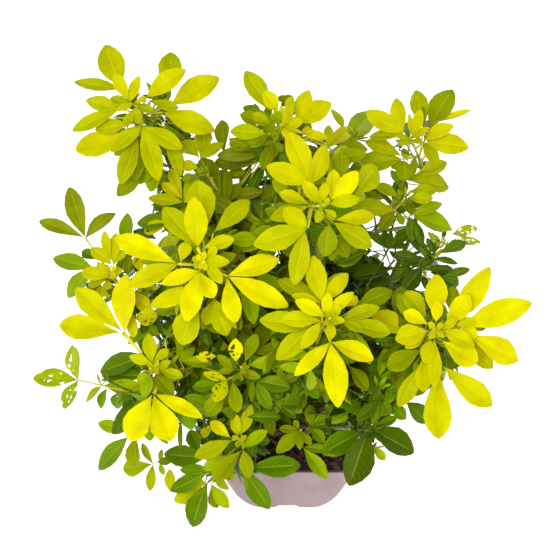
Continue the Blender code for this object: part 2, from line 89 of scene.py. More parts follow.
def pointing(bearing, lean):
    """The unit vector that leans from upright towards a bearing: 0 is the front, 90 the right."""
    turn, tilt = math.radians(bearing), math.radians(lean)
    return Vector((math.sin(tilt) * math.sin(turn), -math.sin(tilt) * math.cos(turn), math.cos(tilt)))


# %% [markdown]
# ## The camera
# The plant was photographed from in front and well above: the rim of the pot and the soil show.
# A long lens at 35 degrees above level gives the same shapes. The camera comes first, because the
# gaps that show the sky are kept open later by asking where a leaf would fall in the picture.

# %% The camera
PHOTO_SIZE = 553
FOCAL_PX = 1350
SENSOR_MM = 36
CAMERA_AIM = Vector((-0.013, -0.016, 0.314))
CAMERA_DISTANCE = 1.5
CAMERA_ANGLE = math.radians(35)
VIEW = Vector((0, math.cos(CAMERA_ANGLE), -math.sin(CAMERA_ANGLE)))
VIEW_UP = Vector((0, math.sin(CAMERA_ANGLE), math.cos(CAMERA_ANGLE)))

camera_data = bpy.data.cameras.new("camera")
camera_data.sensor_width = SENSOR_MM
camera_data.lens = FOCAL_PX / PHOTO_SIZE * SENSOR_MM
camera = bpy.data.objects.new("camera", camera_data)
bpy.context.scene.collection.objects.link(camera)
camera.location = CAMERA_AIM - VIEW * CAMERA_DISTANCE
camera.rotation_euler = (math.pi / 2 - CAMERA_ANGLE, 0, 0)
bpy.context.scene.camera = camera


def in_picture(place):
    """The pixel of the photograph's frame where a place falls."""
    away = Vector(place) - camera.location
    scale = FOCAL_PX / away.dot(VIEW)
    return PHOTO_SIZE / 2 + away.x * scale, PHOTO_SIZE / 2 - away.dot(VIEW_UP) * scale


def on_sight_line(pixel, plane_point, facing):
    """The place where the sight line of a pixel crosses a plane."""
    x, y = pixel
    ray = VIEW * FOCAL_PX + Vector((x - PHOTO_SIZE / 2, 0, 0)) - VIEW_UP * (y - PHOTO_SIZE / 2)
    return camera.location + ray * ((plane_point - camera.location).dot(facing) / ray.dot(facing))


print("lens", round(camera_data.lens, 1), "origin at", [round(v) for v in in_picture((0, 0, 0))])

# %% [markdown]
# ## Light and floor
# The plant stands on white under soft light, with no hard shadow. A wide lamp above and in front is
# the key, a weaker one on each side fills, and a pale world fills the rest. The floor glows a little,
# as a lit white sweep does, so that it stays pale under the crown.

# %% Light and floor
LAMPS = (
    ("key", (-0.35, -1.55, 1.55), 0.9, 30),
    ("fill_right", (1.7, -0.9, 1.0), 1.2, 7),
    ("fill_left", (-1.8, -0.4, 0.9), 1.2, 7),
    ("rim", (0.3, 1.7, 1.5), 1.0, 10),
)
WORLD_LIGHT = 0.66


def make_lamp(name, place, size, power):
    data = bpy.data.lights.new(name, "AREA")
    data.size = size
    data.energy = power
    lamp = bpy.data.objects.new(name, data)
    bpy.context.scene.collection.objects.link(lamp)
    lamp.location = place
    lamp.rotation_euler = (CAMERA_AIM - Vector(place)).to_track_quat("-Z", "Y").to_euler()


for lamp_row in LAMPS:
    make_lamp(*lamp_row)
world = bpy.data.worlds.new("world")
world.use_nodes = True
world.node_tree.nodes["Background"].inputs["Color"].default_value = (1, 1, 1, 1)
world.node_tree.nodes["Background"].inputs["Strength"].default_value = WORLD_LIGHT
bpy.context.scene.world = world
bpy.context.scene.view_settings.view_transform = "Standard"

# %% [markdown]
# ## Small helpers
# A piece is one mesh object that stands at the origin, with its place in its mesh. Each rides on the
# plant's one body and takes the finishes it is given. A finish is a small node graph,
# so `put` adds a node and fills its sockets, either with a value or with a wire from another node.

# %% Pieces


def add_piece(name, bm, finishes, replaced=()):
    """Makes the bmesh an object of the frame, which stands for the replaced nodes."""
    mesh = bpy.data.meshes.new(name)
    bm.to_mesh(mesh)
    bm.free()
    for finish in finishes:
        mesh.materials.append(finish)
    piece = bpy.data.objects.new(name, mesh)
    bpy.context.scene.collection.objects.link(piece)
    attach(piece, "root")
    if replaced:
        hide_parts(*replaced)
    mesh.calc_loop_triangles()
    print(name, "triangles", len(mesh.loop_triangles))
    return piece


# %% Finishes


def wire(tree, value, socket):
    if isinstance(value, bpy.types.NodeSocket):
        tree.links.new(value, socket)
    else:
        socket.default_value = value


def put(tree, kind, **inputs):
    """A node of a kind, with its sockets filled. An underscore stands for a space in a socket's name."""
    node = tree.nodes.new("ShaderNode" + kind)
    for name, value in inputs.items():
        wire(tree, value, node.inputs[name.replace("_", " ")])
    return node


def compute(tree, operation, *values):
    node = tree.nodes.new("ShaderNodeMath")
    node.operation = operation
    for value, socket in zip(values, node.inputs):
        wire(tree, value, socket)
    return node.outputs[0]


def ramp(tree, value, low, high, start=0.0, end=1.0):
    """The value's place between low and high, as a number from start to end."""
    node = put(tree, "MapRange", Value=value, From_Min=low, From_Max=high, To_Min=start, To_Max=end)
    node.interpolation_type = "SMOOTHSTEP"
    return node.outputs["Result"]


def blend(tree, share, first, second):
    """The mix of two colours."""
    node = tree.nodes.new("ShaderNodeMix")
    node.data_type = "RGBA"
    wire(tree, share, node.inputs[0])
    wire(tree, first, node.inputs[6])
    wire(tree, second, node.inputs[7])
    return node.outputs[2]


def rgb(red, green, blue):
    return (red, green, blue, 1.0)


def new_finish(name, roughness):
    """A material, its node tree and its shader."""
    material = bpy.data.materials.new(name)
    material.use_nodes = True
    tree = material.node_tree
    shader = tree.nodes["Principled BSDF"]
    shader.inputs["Roughness"].default_value = roughness
    return material, tree, shader


def object_place(tree):
    return tree.nodes.new("ShaderNodeTexCoord").outputs["Object"]


def grain(tree, scale, detail=3.0, place=None):
    """Noise from 0 to 1 over the piece's own space."""
    node = put(tree, "TexNoise", Vector=place or object_place(tree), Scale=scale, Detail=detail)
    return node.outputs["Fac"]


def relief(tree, shader, height, distance, strength=1.0):
    bump = put(tree, "Bump", Height=height, Distance=distance, Strength=strength)
    tree.links.new(bump.outputs["Normal"], shader.inputs["Normal"])


# %% [markdown]
# The floor is one plain face. It is wide enough to fill a low view right up to the picture's top.

# %% The floor
FLOOR_HALF = 30
FLOOR_GLOW = 0.6
floor_bm = bmesh.new()
bmesh.ops.create_grid(floor_bm, x_segments=1, y_segments=1, size=FLOOR_HALF)
floor_mesh = bpy.data.meshes.new("floor")
floor_bm.to_mesh(floor_mesh)
floor_bm.free()
floor = bpy.data.objects.new("floor", floor_mesh)
bpy.context.scene.collection.objects.link(floor)
floor_finish, floor_tree, floor_shader = new_finish("floor", 0.9)
floor_shader.inputs["Base Color"].default_value = rgb(0.9, 0.9, 0.9)
floor_shader.inputs["Emission Color"].default_value = rgb(1, 1, 1)
floor_shader.inputs["Emission Strength"].default_value = FLOOR_GLOW
floor_mesh.materials.append(floor_finish)

# %% [markdown]
# ## The pot
# A slip-cast tray of pale mauve stoneware. Its front and back are nearly upright, and its ends curve
# in to a smaller foot. It could be cut out of a block with Booleans, but a rectangle whose corners
# are bevelled, extruded up the outside and then down the inside, keeps even strips of faces along
# the walls, so the edges can be softened by one more bevel. The foot has a shallow notch in the
# middle of each side, made by lifting the vertices there.

# %% The pot's sizes
POT_HEIGHT = 0.062
RIM_SIZE = (0.083, 0.063, 0.012)  # half length, half depth, corner radius
FOOT_SIZE = (0.054, 0.058, 0.023)
STRAIGHT_SHARE = 0.8
SWELL_POWER = 8
WALL = 0.0055
OUTSIDE_RINGS = 26
INSIDE_LEVELS = (0.95, 0.86, 0.72, 0.5, 0.3, 0.15)
INNER_CORNER = 0.004
CORNER_STEPS = 8
SIDE_CUTS = 29
FOOT_ROUNDING = 0.0008
# The height of the dark foot band, which is partly bare clay and partly painted contact shadow.
CLAY_AND_SHADOW_FOOT = 0.0009
LIP_ROUNDING = 0.0010
NOTCH_HALF_LENGTH = 0.0125
NOTCH_SLOPE = 0.0035
NOTCH_HEIGHT = 0.0032
NOTCH_FADE = 0.012
NOTCH_REACH = 0.022


def pot_size(share, inset=0.0):
    """Half length, half depth and corner radius, inset from the outside at a share of the height."""
    swell = 1 - (1 - share) ** SWELL_POWER
    flare = STRAIGHT_SHARE * share + (1 - STRAIGHT_SHARE) * swell
    length, depth, corner = (foot + (rim - foot) * flare for foot, rim in zip(FOOT_SIZE, RIM_SIZE))
    return length - inset, depth - inset, max(corner - inset, INNER_CORNER)


# %% Rings and extrusion


def fit_ring(verts, old_size, new_size, height):
    """Moves a ring of vertices from one rounded rectangle to another."""
    for vert in verts:
        for axis in (0, 1):
            side = math.copysign(1.0, vert.co[axis])
            straight = old_size[axis] - old_size[2]
            new_straight = new_size[axis] - new_size[2]
            past = abs(vert.co[axis]) - straight
            if past > 0:
                vert.co[axis] = side * (new_straight + past * new_size[2] / old_size[2])
            else:
                vert.co[axis] *= new_straight / straight
        vert.co.z = height


def rounded_rectangle(bm, size):
    """One face with round corners and vertices along its sides."""
    bmesh.ops.create_grid(bm, x_segments=1, y_segments=1, size=1.0)
    bmesh.ops.scale(bm, vec=(size[0], size[1], 1.0), verts=bm.verts)
    bmesh.ops.bevel(
        bm, geom=bm.verts[:], offset=size[2], offset_type="OFFSET", segments=CORNER_STEPS,
        profile=0.5, affect="VERTICES", material=-1,
    )
    sides = [edge for edge in bm.edges if edge.calc_length() > size[2]]
    bmesh.ops.subdivide_edges(bm, edges=sides, cuts=SIDE_CUTS)
    return bm.faces[:][0]


def extruded(bm, face):
    """Extrudes a face in place, and returns the new one. The first face stays, and closes the end."""
    region = [face, *face.edges, *face.verts]  # without its edges the old face would stay inside
    made = bmesh.ops.extrude_face_region(bm, geom=region)["geom"]
    return next(item for item in made if isinstance(item, bmesh.types.BMFace))


# %% The pot's walls
pot_bm = bmesh.new()
foot_size = pot_size(0.0, FOOT_ROUNDING)
underside = rounded_rectangle(pot_bm, foot_size)
cap, size = underside, foot_size
steps = [((ring / OUTSIDE_RINGS) ** 1.5, 0.0) for ring in range(1, OUTSIDE_RINGS + 1)]
steps += [(1.0, WALL)]
steps += [(share, WALL) for share in INSIDE_LEVELS]
lip_edges = []
for share, inset in steps:
    cap = extruded(pot_bm, cap)
    new_size = pot_size(share, inset)
    fit_ring(cap.verts, size, new_size, share * POT_HEIGHT)
    size = new_size
    if share == 1.0:
        lip_edges += list(cap.edges)
print("pot rings", len(steps) + 1)

# %% The notches in the foot
bmesh.ops.inset_region(pot_bm, faces=[underside], thickness=NOTCH_REACH, depth=0.0)
for vert in pot_bm.verts:
    half_length, half_depth, _ = foot_size
    near_end = abs(vert.co.x) > half_length - FOOT_ROUNDING
    near_edge = near_end or abs(vert.co.y) > half_depth - FOOT_ROUNDING
    if vert.co.z < NOTCH_FADE and near_edge:
        along = min(abs(vert.co.x), abs(vert.co.y))
        share = (NOTCH_HALF_LENGTH - along) / NOTCH_SLOPE + 0.5
        fade = 1 - vert.co.z / NOTCH_FADE
        vert.co.z += NOTCH_HEIGHT * fade * min(max(share, 0.0), 1.0)
bmesh.ops.bevel(
    pot_bm, geom=lip_edges, offset=LIP_ROUNDING, offset_type="OFFSET", segments=3,
    profile=0.5, affect="EDGES", material=-1,
)
bmesh.ops.recalc_face_normals(pot_bm, faces=pot_bm.faces)
for face in pot_bm.faces:
    face.smooth = True
    on_lip = face.normal.z > 0.9 and face.calc_center_median().z > POT_HEIGHT * 0.99
    # The lowest band of the wall takes the dark clay: partly bare clay, partly painted contact shadow.
    clay_or_foot_shadow = face.normal.z < -0.95 or face.calc_center_median().z < CLAY_AND_SHADOW_FOOT
    face.material_index = 1 if on_lip or clay_or_foot_shadow else 0

# %% [markdown]
# The glaze is matt and thin: pale mauve with a faint mottling, tiny dark specks where iron burned
# through, and bare brown clay on the lip and foot, which were wiped before firing. Round the lowest
# band of the foot this dark clay is also a painted contact shadow on the floor.

# %% The pot's finishes
glaze, tree, shader = new_finish("mauve_glaze", 0.55)
mottle = grain(tree, 38, 5)
cloud = grain(tree, 9, 2)
tone = blend(tree, ramp(tree, mottle, 0.3, 0.7), rgb(0.25, 0.18, 0.192), rgb(0.325, 0.25, 0.258))
tone = blend(tree, ramp(tree, cloud, 0.35, 0.65, 0.0, 0.4), tone, rgb(0.285, 0.20, 0.225))
specks = put(tree, "TexVoronoi", Vector=object_place(tree), Scale=330.0).outputs["Distance"]
speck_field = ramp(tree, grain(tree, 70, 1), 0.50, 0.58)
speck_mask = compute(tree, "MULTIPLY", ramp(tree, specks, 0.10, 0.22, 1.0, 0.0), speck_field)
wire(tree, blend(tree, speck_mask, tone, rgb(0.16, 0.10, 0.09)), shader.inputs["Base Color"])
relief(tree, shader, grain(tree, 260, 3), 0.00015)

clay_and_foot_shadow, tree, shader = new_finish("bare_clay", 0.8)
tone = blend(tree, grain(tree, 120, 4), rgb(0.10, 0.035, 0.03), rgb(0.20, 0.10, 0.09))
wire(tree, tone, shader.inputs["Base Color"])
relief(tree, shader, grain(tree, 400, 3), 0.0002)

pot = add_piece("pot_glazed", pot_bm, [glaze, clay_and_foot_shadow], ["pot"])

# %% [markdown]
# ## The soil
# Damp compost and bark chips fill the pot to a little below the rim and rise to a low mound. The bed
# is a grid whose corners are drawn in to the pot's inside and whose surface is roughened, with its
# edge extruded down. Bark chips and crumbs lie on it, each one a cube that was knocked out of true,
# and a few bits of yellow and orange lichen show among them. The compost between them is nearly
# black, darker than compost is, as painted shade under the crown and in the groove along the wall,
# which is mostly left bare of chips.

# %% The soil bed
SOIL_SHARE = 0.855
SOIL_GAP = 0.0003
SOIL_FLOOR = 0.13
MOUND_HEIGHT = 0.0065
GROOVE_FROM = 0.86  # share of the soil's half size at which it begins to fall towards the wall
GROOVE_DEPTH = 0.0035
soil_size = pot_size(SOIL_SHARE, WALL + SOIL_GAP)
soil_top = SOIL_SHARE * POT_HEIGHT


def soil_height(x, y):
    """The height of the mound, without its roughness."""
    reach = max(abs(x) / soil_size[0], abs(y) / soil_size[1])
    groove = GROOVE_DEPTH * max((reach - GROOVE_FROM) / (1 - GROOVE_FROM), 0.0)
    return soil_top - groove + MOUND_HEIGHT * math.cos(min(reach, 1.0) * math.pi / 2) ** 0.8


def in_rounded(x, y, size):
    """The nearest place inside a rounded rectangle."""
    past_x = abs(x) - (size[0] - size[2])
    past_y = abs(y) - (size[1] - size[2])
    if past_x > 0 and past_y > 0 and math.hypot(past_x, past_y) > size[2]:
        shrink = size[2] / math.hypot(past_x, past_y)
        x -= math.copysign(past_x * (1 - shrink), x)
        y -= math.copysign(past_y * (1 - shrink), y)
    return x, y


soil_bm = bmesh.new()
bmesh.ops.create_grid(soil_bm, x_segments=60, y_segments=46, size=1.0)
for vert in soil_bm.verts:
    x, y = in_rounded(vert.co.x * soil_size[0], vert.co.y * soil_size[1], soil_size)
    rough = noise.fractal(Vector((x, y, 0)) * 180, 1.0, 2.0, 3)
    vert.co = (x, y, soil_height(x, y) + 0.0012 * rough)
edge = [e for e in soil_bm.edges if e.is_boundary]
made = bmesh.ops.extrude_edge_only(soil_bm, edges=edge)["geom"]
low_size = pot_size(SOIL_FLOOR, WALL + SOIL_GAP)
for vert in (item for item in made if isinstance(item, bmesh.types.BMVert)):
    vert.co.x *= low_size[0] / soil_size[0]
    vert.co.y *= low_size[1] / soil_size[1]
    vert.co.z = SOIL_FLOOR * POT_HEIGHT
bmesh.ops.holes_fill(soil_bm, edges=[e for e in soil_bm.edges if e.is_boundary], sides=0)
bmesh.ops.recalc_face_normals(soil_bm, faces=soil_bm.faces)

compost, tree, shader = new_finish("compost", 0.95)
patches = ramp(tree, grain(tree, 300, 5), 0.35, 0.7)
# Nearly black: the compost's own dark colour deepened into painted shade.
tone = blend(tree, patches, rgb(0.003, 0.0015, 0.001), rgb(0.022, 0.011, 0.007))
wire(tree, tone, shader.inputs["Base Color"])
relief(tree, shader, grain(tree, 700, 4), 0.0006)
add_piece("soil_bed", soil_bm, [compost], ["soil"])

# %% Bark chips
CHIPS = 720
CHIP_SIZE = (0.0035, 0.0095)
CRUMBS = 500
LICHEN_BITS = 46
chip_random = random.Random(SEED)


def stamp(bm, mesh, matrix):
    """Adds a moved copy of a mesh to a bmesh."""
    copy = mesh.copy()
    copy.transform(matrix)
    bm.from_mesh(copy)
    bpy.data.meshes.remove(copy)


def chip_mesh(seed):
    """A cube knocked out of true: a thin, bent splinter of bark, one unit long."""
    bm = bmesh.new()
    bmesh.ops.create_cube(bm, size=1.0)
    bmesh.ops.subdivide_edges(bm, edges=bm.edges[:], cuts=1, use_grid_fill=True)
    shape = random.Random(seed)
    for vert in bm.verts:
        x, y, z = vert.co
        narrow = 1.0 - 0.5 * abs(x) ** 1.5
        vert.co = (
            x + shape.uniform(-0.09, 0.09),
            y * 0.5 * narrow + shape.uniform(-0.07, 0.07),
            z * 0.2 - 0.25 * x * x + shape.uniform(-0.03, 0.03),
        )
    mesh = bpy.data.meshes.new("chip")
    bm.to_mesh(mesh)
    bm.free()
    return mesh


def scatter(bm, shapes, count, sizes, draw, lift=0.25):
    """Drops copies of the shapes on the soil, clear of the pot's wall and the stem's foot."""
    for _ in range(count):
        size = draw.uniform(*sizes)
        x = draw.uniform(-1, 1) * (soil_size[0] - 0.7 * size)
        y = draw.uniform(-1, 1) * (soil_size[1] - 0.7 * size)
        x, y = in_rounded(x, y, (soil_size[0] - 0.7 * size, soil_size[1] - 0.7 * size, soil_size[2]))
        in_groove = max(abs(x) / soil_size[0], abs(y) / soil_size[1]) > GROOVE_FROM
        if math.hypot(x, y) < 0.011 or (in_groove and draw.random() < 0.85):
            continue
        turn = Matrix.Rotation(draw.uniform(0, math.tau), 4, "Z")
        tip = Matrix.Rotation(draw.gauss(0, 0.35), 4, "X") @ Matrix.Rotation(draw.gauss(0, 0.3), 4, "Y")
        place = Vector((x, y, soil_height(x, y) + size * lift * draw.uniform(0.3, 1.2)))
        stamp(bm, draw.choice(shapes), Matrix.Translation(place) @ turn @ tip @ Matrix.Scale(size, 4))


chip_shapes = [chip_mesh(SEED + n) for n in range(12)]
chips_bm = bmesh.new()
scatter(chips_bm, chip_shapes, CHIPS, CHIP_SIZE, chip_random)
scatter(chips_bm, chip_shapes, CRUMBS, (0.0015, 0.003), chip_random)
bark_chips, tree, shader = new_finish("bark_chips", 0.85)
patches = ramp(tree, grain(tree, 110, 3), 0.35, 0.68)
tone = blend(tree, patches, rgb(0.020, 0.008, 0.005), rgb(0.17, 0.080, 0.050))
wire(tree, tone, shader.inputs["Base Color"])
relief(tree, shader, grain(tree, 900, 3), 0.0003)
add_piece("soil_chips", chips_bm, [bark_chips])

lichen_bm = bmesh.new()
scatter(lichen_bm, chip_shapes[:5], LICHEN_BITS, (0.0022, 0.005), random.Random(SEED + 1), 0.6)
lichen, tree, shader = new_finish("lichen", 0.9)
tone = blend(tree, ramp(tree, grain(tree, 60, 1), 0.42, 0.58), rgb(0.42, 0.42, 0.05), rgb(0.48, 0.20, 0.03))
wire(tree, tone, shader.inputs["Base Color"])
relief(tree, shader, grain(tree, 1200, 3), 0.0004)
add_piece("soil_lichen", lichen_bm, [lichen])

# %% [markdown]
# ## How the shrub grows
# A short stem stands on the soil. Thirteen boughs leave it and fifteen more leave those. Each ends in
# a rosette: opposite pairs of leaves, each pair at right angles to the next, closing up towards the
# tip. One row gives each rosette's place, as the solids have it, and the same rule then grows it.

# %% The shoots
Shoot = namedtuple("Shoot", "name parent along hub bearing lean turn leaf reach leaves tone")
SHOOTS = (
    Shoot("top_middle", "stem", 1.00, (-0.008, 0.010, 0.491), 4, 41, 19, 0.059, 0.8, 6, "gold"),
    Shoot("left_top", "stem", 0.80, (-0.166, 0.066, 0.483), -10, 48, 30, 0.066, 1.0, 6, "gold"),
    Shoot("right_top", "stem", 0.72, (0.133, 0.047, 0.456), -30, 34, 5, 0.056, 1.4, 6, "gold"),
    Shoot("left_middle", "stem", 0.66, (-0.087, -0.131, 0.412), -3, 50, 71, 0.060, 1.4, 6, "gold"),
    Shoot("middle", "stem", 0.72, (0.040, -0.171, 0.372), 18, 39, 82, 0.055, 1.1, 6, "gold"),
    Shoot("right", "stem", 0.56, (0.150, -0.137, 0.333), 10, 40, 33, 0.060, 1.2, 6, "gold"),
    Shoot("left_low", "stem", 0.44, (-0.140, -0.095, 0.200), -60, 50, 20, 0.056, 1.0, 5, "green"),
    Shoot("low_left", "stem", 0.24, (-0.092, -0.121, 0.112), -35, 60, 76, 0.052, 0.9, 4, "green"),
    Shoot("low_right", "stem", 0.34, (0.091, -0.121, 0.180), 30, 55, 65, 0.060, 0.9, 4, "deep"),
    Shoot("soil_shoot", "stem", 0.14, (0.015, -0.076, 0.141), 0, 30, 33, 0.044, 0.7, 4, "lime"),
    Shoot("back_high", "stem", 0.60, (0.050, 0.155, 0.350), 165, 35, 15, 0.068, 1.1, 5, "lime"),
    Shoot("back_low_left", "stem", 0.52, (-0.120, 0.110, 0.210), -140, 50, 40, 0.066, 1.1, 5, "green"),
    Shoot("back_low", "stem", 0.30, (0.030, 0.150, 0.190), 172, 55, 70, 0.066, 1.0, 5, "green"),
    Shoot("upper_middle", "top_middle", 0.45, (0.034, -0.102, 0.461), 25, 58, 33, 0.061, 0.8, 6, "gold"),
    Shoot("top_back", "top_middle", 0.55, (0.074, 0.071, 0.438), 130, 34, 62, 0.054, 1.4, 5, "lime"),
    Shoot("back_top", "top_middle", 0.36, (0.005, 0.125, 0.425), 178, 32, 50, 0.062, 1.1, 5, "lime"),
    Shoot("left_back", "left_top", 0.50, (-0.088, 0.035, 0.415), -60, 25, 43, 0.054, 1.2, 5, "lime"),
    Shoot("right_upper", "right_top", 0.70, (0.127, 0.016, 0.394), 60, 35, 59, 0.052, 1.2, 4, "lime"),
    Shoot("right_dark", "right_top", 0.45, (0.155, 0.000, 0.331), 75, 40, 24, 0.047, 0.9, 5, "deep"),
    Shoot("left", "left_middle", 0.50, (-0.146, -0.137, 0.281), -30, 40, 30, 0.046, 1.0, 4, "gold"),
    Shoot("low_middle", "left_middle", 0.38, (-0.050, -0.140, 0.285), -10, 38, 81, 0.050, 0.9, 5, "lime"),
    Shoot("inner_right", "middle", 0.45, (0.085, -0.050, 0.310), 60, 30, 50, 0.054, 1.0, 5, "deep"),
    Shoot("right_low", "right", 0.50, (0.096, -0.126, 0.245), 25, 42, 51, 0.056, 1.1, 5, "green"),
    Shoot("left_upper", "left_low", 0.45, (-0.196, -0.045, 0.343), -70, 25, 3, 0.050, 1.2, 5, "lime"),
    Shoot("far_left", "left_low", 0.60, (-0.200, -0.092, 0.228), -80, 50, 10, 0.030, 0.8, 3, "green"),
    Shoot("front_low", "low_left", 0.35, (-0.053, -0.135, 0.179), -15, 50, 32, 0.050, 0.9, 5, "lime"),
    Shoot("back_left", "back_high", 0.50, (-0.085, 0.145, 0.320), -155, 38, 25, 0.068, 1.1, 5, "lime"),
    Shoot("back_right", "back_high", 0.40, (0.130, 0.110, 0.250), 125, 50, 55, 0.066, 1.1, 5, "green"),
)

# Leaves that reach out of their rosettes: the mass, where the three leaflets meet, and the tip
# of the middle one.
FarLeaf = namedtuple("FarLeaf", "shoot hub tip")
FAR_LEAVES = (
    FarLeaf("right", (0.186, -0.151, 0.347), (0.246, -0.138, 0.367)),
    FarLeaf("right", (0.150, -0.187, 0.297), (0.151, -0.210, 0.247)),
    FarLeaf("right", (0.157, -0.168, 0.306), (0.207, -0.190, 0.274)),
    FarLeaf("left", (-0.172, -0.139, 0.330), (-0.222, -0.107, 0.359)),
    FarLeaf("left", (-0.139, -0.175, 0.279), (-0.126, -0.181, 0.217)),
    FarLeaf("left_upper", (-0.223, -0.008, 0.360), (-0.244, 0.041, 0.395)),
    FarLeaf("far_left", (-0.232, -0.097, 0.233), (-0.280, -0.095, 0.236)),
    FarLeaf("left_low", (-0.178, -0.141, 0.188), (-0.208, -0.153, 0.153)),
    FarLeaf("left_low", (-0.150, -0.135, 0.144), (-0.184, -0.139, 0.138)),
    FarLeaf("right_dark", (0.189, 0.007, 0.346), (0.211, 0.016, 0.359)),
    FarLeaf("low_right", (0.091, -0.136, 0.195), (0.067, -0.150, 0.123)),
    FarLeaf("low_left", (-0.090, -0.147, 0.127), (-0.108, -0.154, 0.065)),
    FarLeaf("left_top", (-0.179, 0.104, 0.486), (-0.203, 0.151, 0.517)),
    FarLeaf("left_top", (-0.137, 0.063, 0.480), (-0.076, 0.092, 0.503)),
    FarLeaf("front_low", (-0.047, -0.139, 0.138), (-0.020, -0.150, 0.088)),
    FarLeaf("soil_shoot", (0.018, -0.102, 0.139), (0.043, -0.124, 0.107)),
)

print("shoots", len(SHOOTS), "far leaves", len(FAR_LEAVES))

# %% The routes of the limbs
Limb = namedtuple("Limb", "points radii")
GAP = 0.0003
STEM_FOOT = SOIL_SHARE * POT_HEIGHT + MOUND_HEIGHT + GAP
STEM_HEIGHT = 0.052
STEM_TOP_SHIFT = (0.003, -0.004)
STEM_RADII = ((0.0, 0.0125), (0.10, 0.0102), (0.25, 0.0088), (0.6, 0.0080), (1.0, 0.0072))
LEADER_RADIUS = 0.0048
MAIN_BOUGH_RADIUS = 0.0038
SIDE_BOUGH_RADIUS = 0.0027
BOUGH_TIP_RADIUS = 0.0019
BOUGH_START_LEAN = 50.0
BOUGH_END = 0.005
BOUGH_PULL = 0.38
BOUGH_STEPS = 22
TWIG_LENGTH = 0.045


def stem_limb():
    flare_top = STEM_RADII[1][0]
    points = []
    for share, _ in STEM_RADII:
        lean = max(share - flare_top, 0.0) / (1.0 - flare_top)
        shift_x, shift_y = (lean * shift for shift in STEM_TOP_SHIFT)
        points.append(Vector((shift_x, shift_y, STEM_FOOT + STEM_HEIGHT * share)))
    return Limb(points, [radius for _, radius in STEM_RADII])


def at(limb, share):
    """The place and radius at a share of a limb's length."""
    spans = [(b - a).length for a, b in zip(limb.points, limb.points[1:])]
    left = share * sum(spans)
    for i, span in enumerate(spans):
        if left <= span or i == len(spans) - 1:
            t = min(left / span, 1.0)
            radius = limb.radii[i] + (limb.radii[i + 1] - limb.radii[i]) * t
            return limb.points[i].lerp(limb.points[i + 1], t), radius
        left -= span


def length_of(limb):
    return sum((b - a).length for a, b in zip(limb.points, limb.points[1:]))


def bough_limb(start, heading, end, arrival, radius):
    """A limb in one smooth bend, with short straight ends."""
    low, high = start + heading * BOUGH_END, end - arrival * BOUGH_END
    pull = BOUGH_PULL * (high - low).length
    a, b = low + heading * pull, high - arrival * pull
    points = [start]
    for i in range(BOUGH_STEPS):
        t = i / (BOUGH_STEPS - 1)
        s = 1.0 - t
        points.append(low * s**3 + a * 3 * s * s * t + b * 3 * s * t * t + high * t**3)
    points.append(end)
    radii = [radius + (BOUGH_TIP_RADIUS - radius) * i / (len(points) - 1) for i in range(len(points))]
    return Limb(points, radii)


def route_of(shoot, limbs):
    """The limb from its parent to the foot of the shoot's twig."""
    parent = limbs[shoot.parent]
    arrival = pointing(shoot.bearing, shoot.lean)
    end = Vector(shoot.hub) - arrival * TWIG_LENGTH
    start, parent_radius = at(parent, shoot.along)
    from_stem = shoot.parent == "stem"
    if from_stem and shoot.along == 1.0:
        heading = (parent.points[-1] - parent.points[-2]).normalized()
        return bough_limb(start, heading, end, arrival, LEADER_RADIUS)
    away = end - start
    heading = pointing(math.degrees(math.atan2(away.x, -away.y)), BOUGH_START_LEAN)
    if from_stem:
        return bough_limb(start, heading, end, arrival, MAIN_BOUGH_RADIUS)
    heading = (heading + away.normalized()).normalized()
    return bough_limb(start, heading, end, arrival, min(SIDE_BOUGH_RADIUS, parent_radius))


limbs = {"stem": stem_limb()}
for shoot in SHOOTS:
    limbs[shoot.name] = route_of(shoot, limbs)
print("bough length in all", round(sum(length_of(limb) for limb in limbs.values()), 2))

# %% [markdown]
# ## Bark
# Old wood is grey-brown with fine ridges along it, and young wood is smooth and yellow-green. Each
# limb is one ring of vertices that is extruded from place to place along its route. The ring is then
# roughened: ridges run along the limb, and it swells a little at each leaf scar. An attribute called
# youth runs from 0 in old wood to 1 at the tips, and the finish mixes its colours by it.

# %% Limbs with bark
BARK_SIDES = 14
RING_SPACING = 0.0032
SCAR_SPACING = 0.024
RIDGE_DEPTH = 0.10
SCAR_SWELL = 0.10
COLLAR_REACH = 0.010
COLLAR_SWELL = 0.45
TURNS_GREEN = {True: (0.35, 0.85), False: (-0.4, 0.4)}  # shares of the length, on the stem and on boughs


def ring_frame(place, heading, radius, side):
    """The matrix that puts a unit ring at a place, square to a heading."""
    across = side.cross(heading).normalized()
    side = heading.cross(across)
    rows = Matrix((across * radius, side * radius, heading * radius)).transposed().to_4x4()
    return Matrix.Translation(place) @ rows


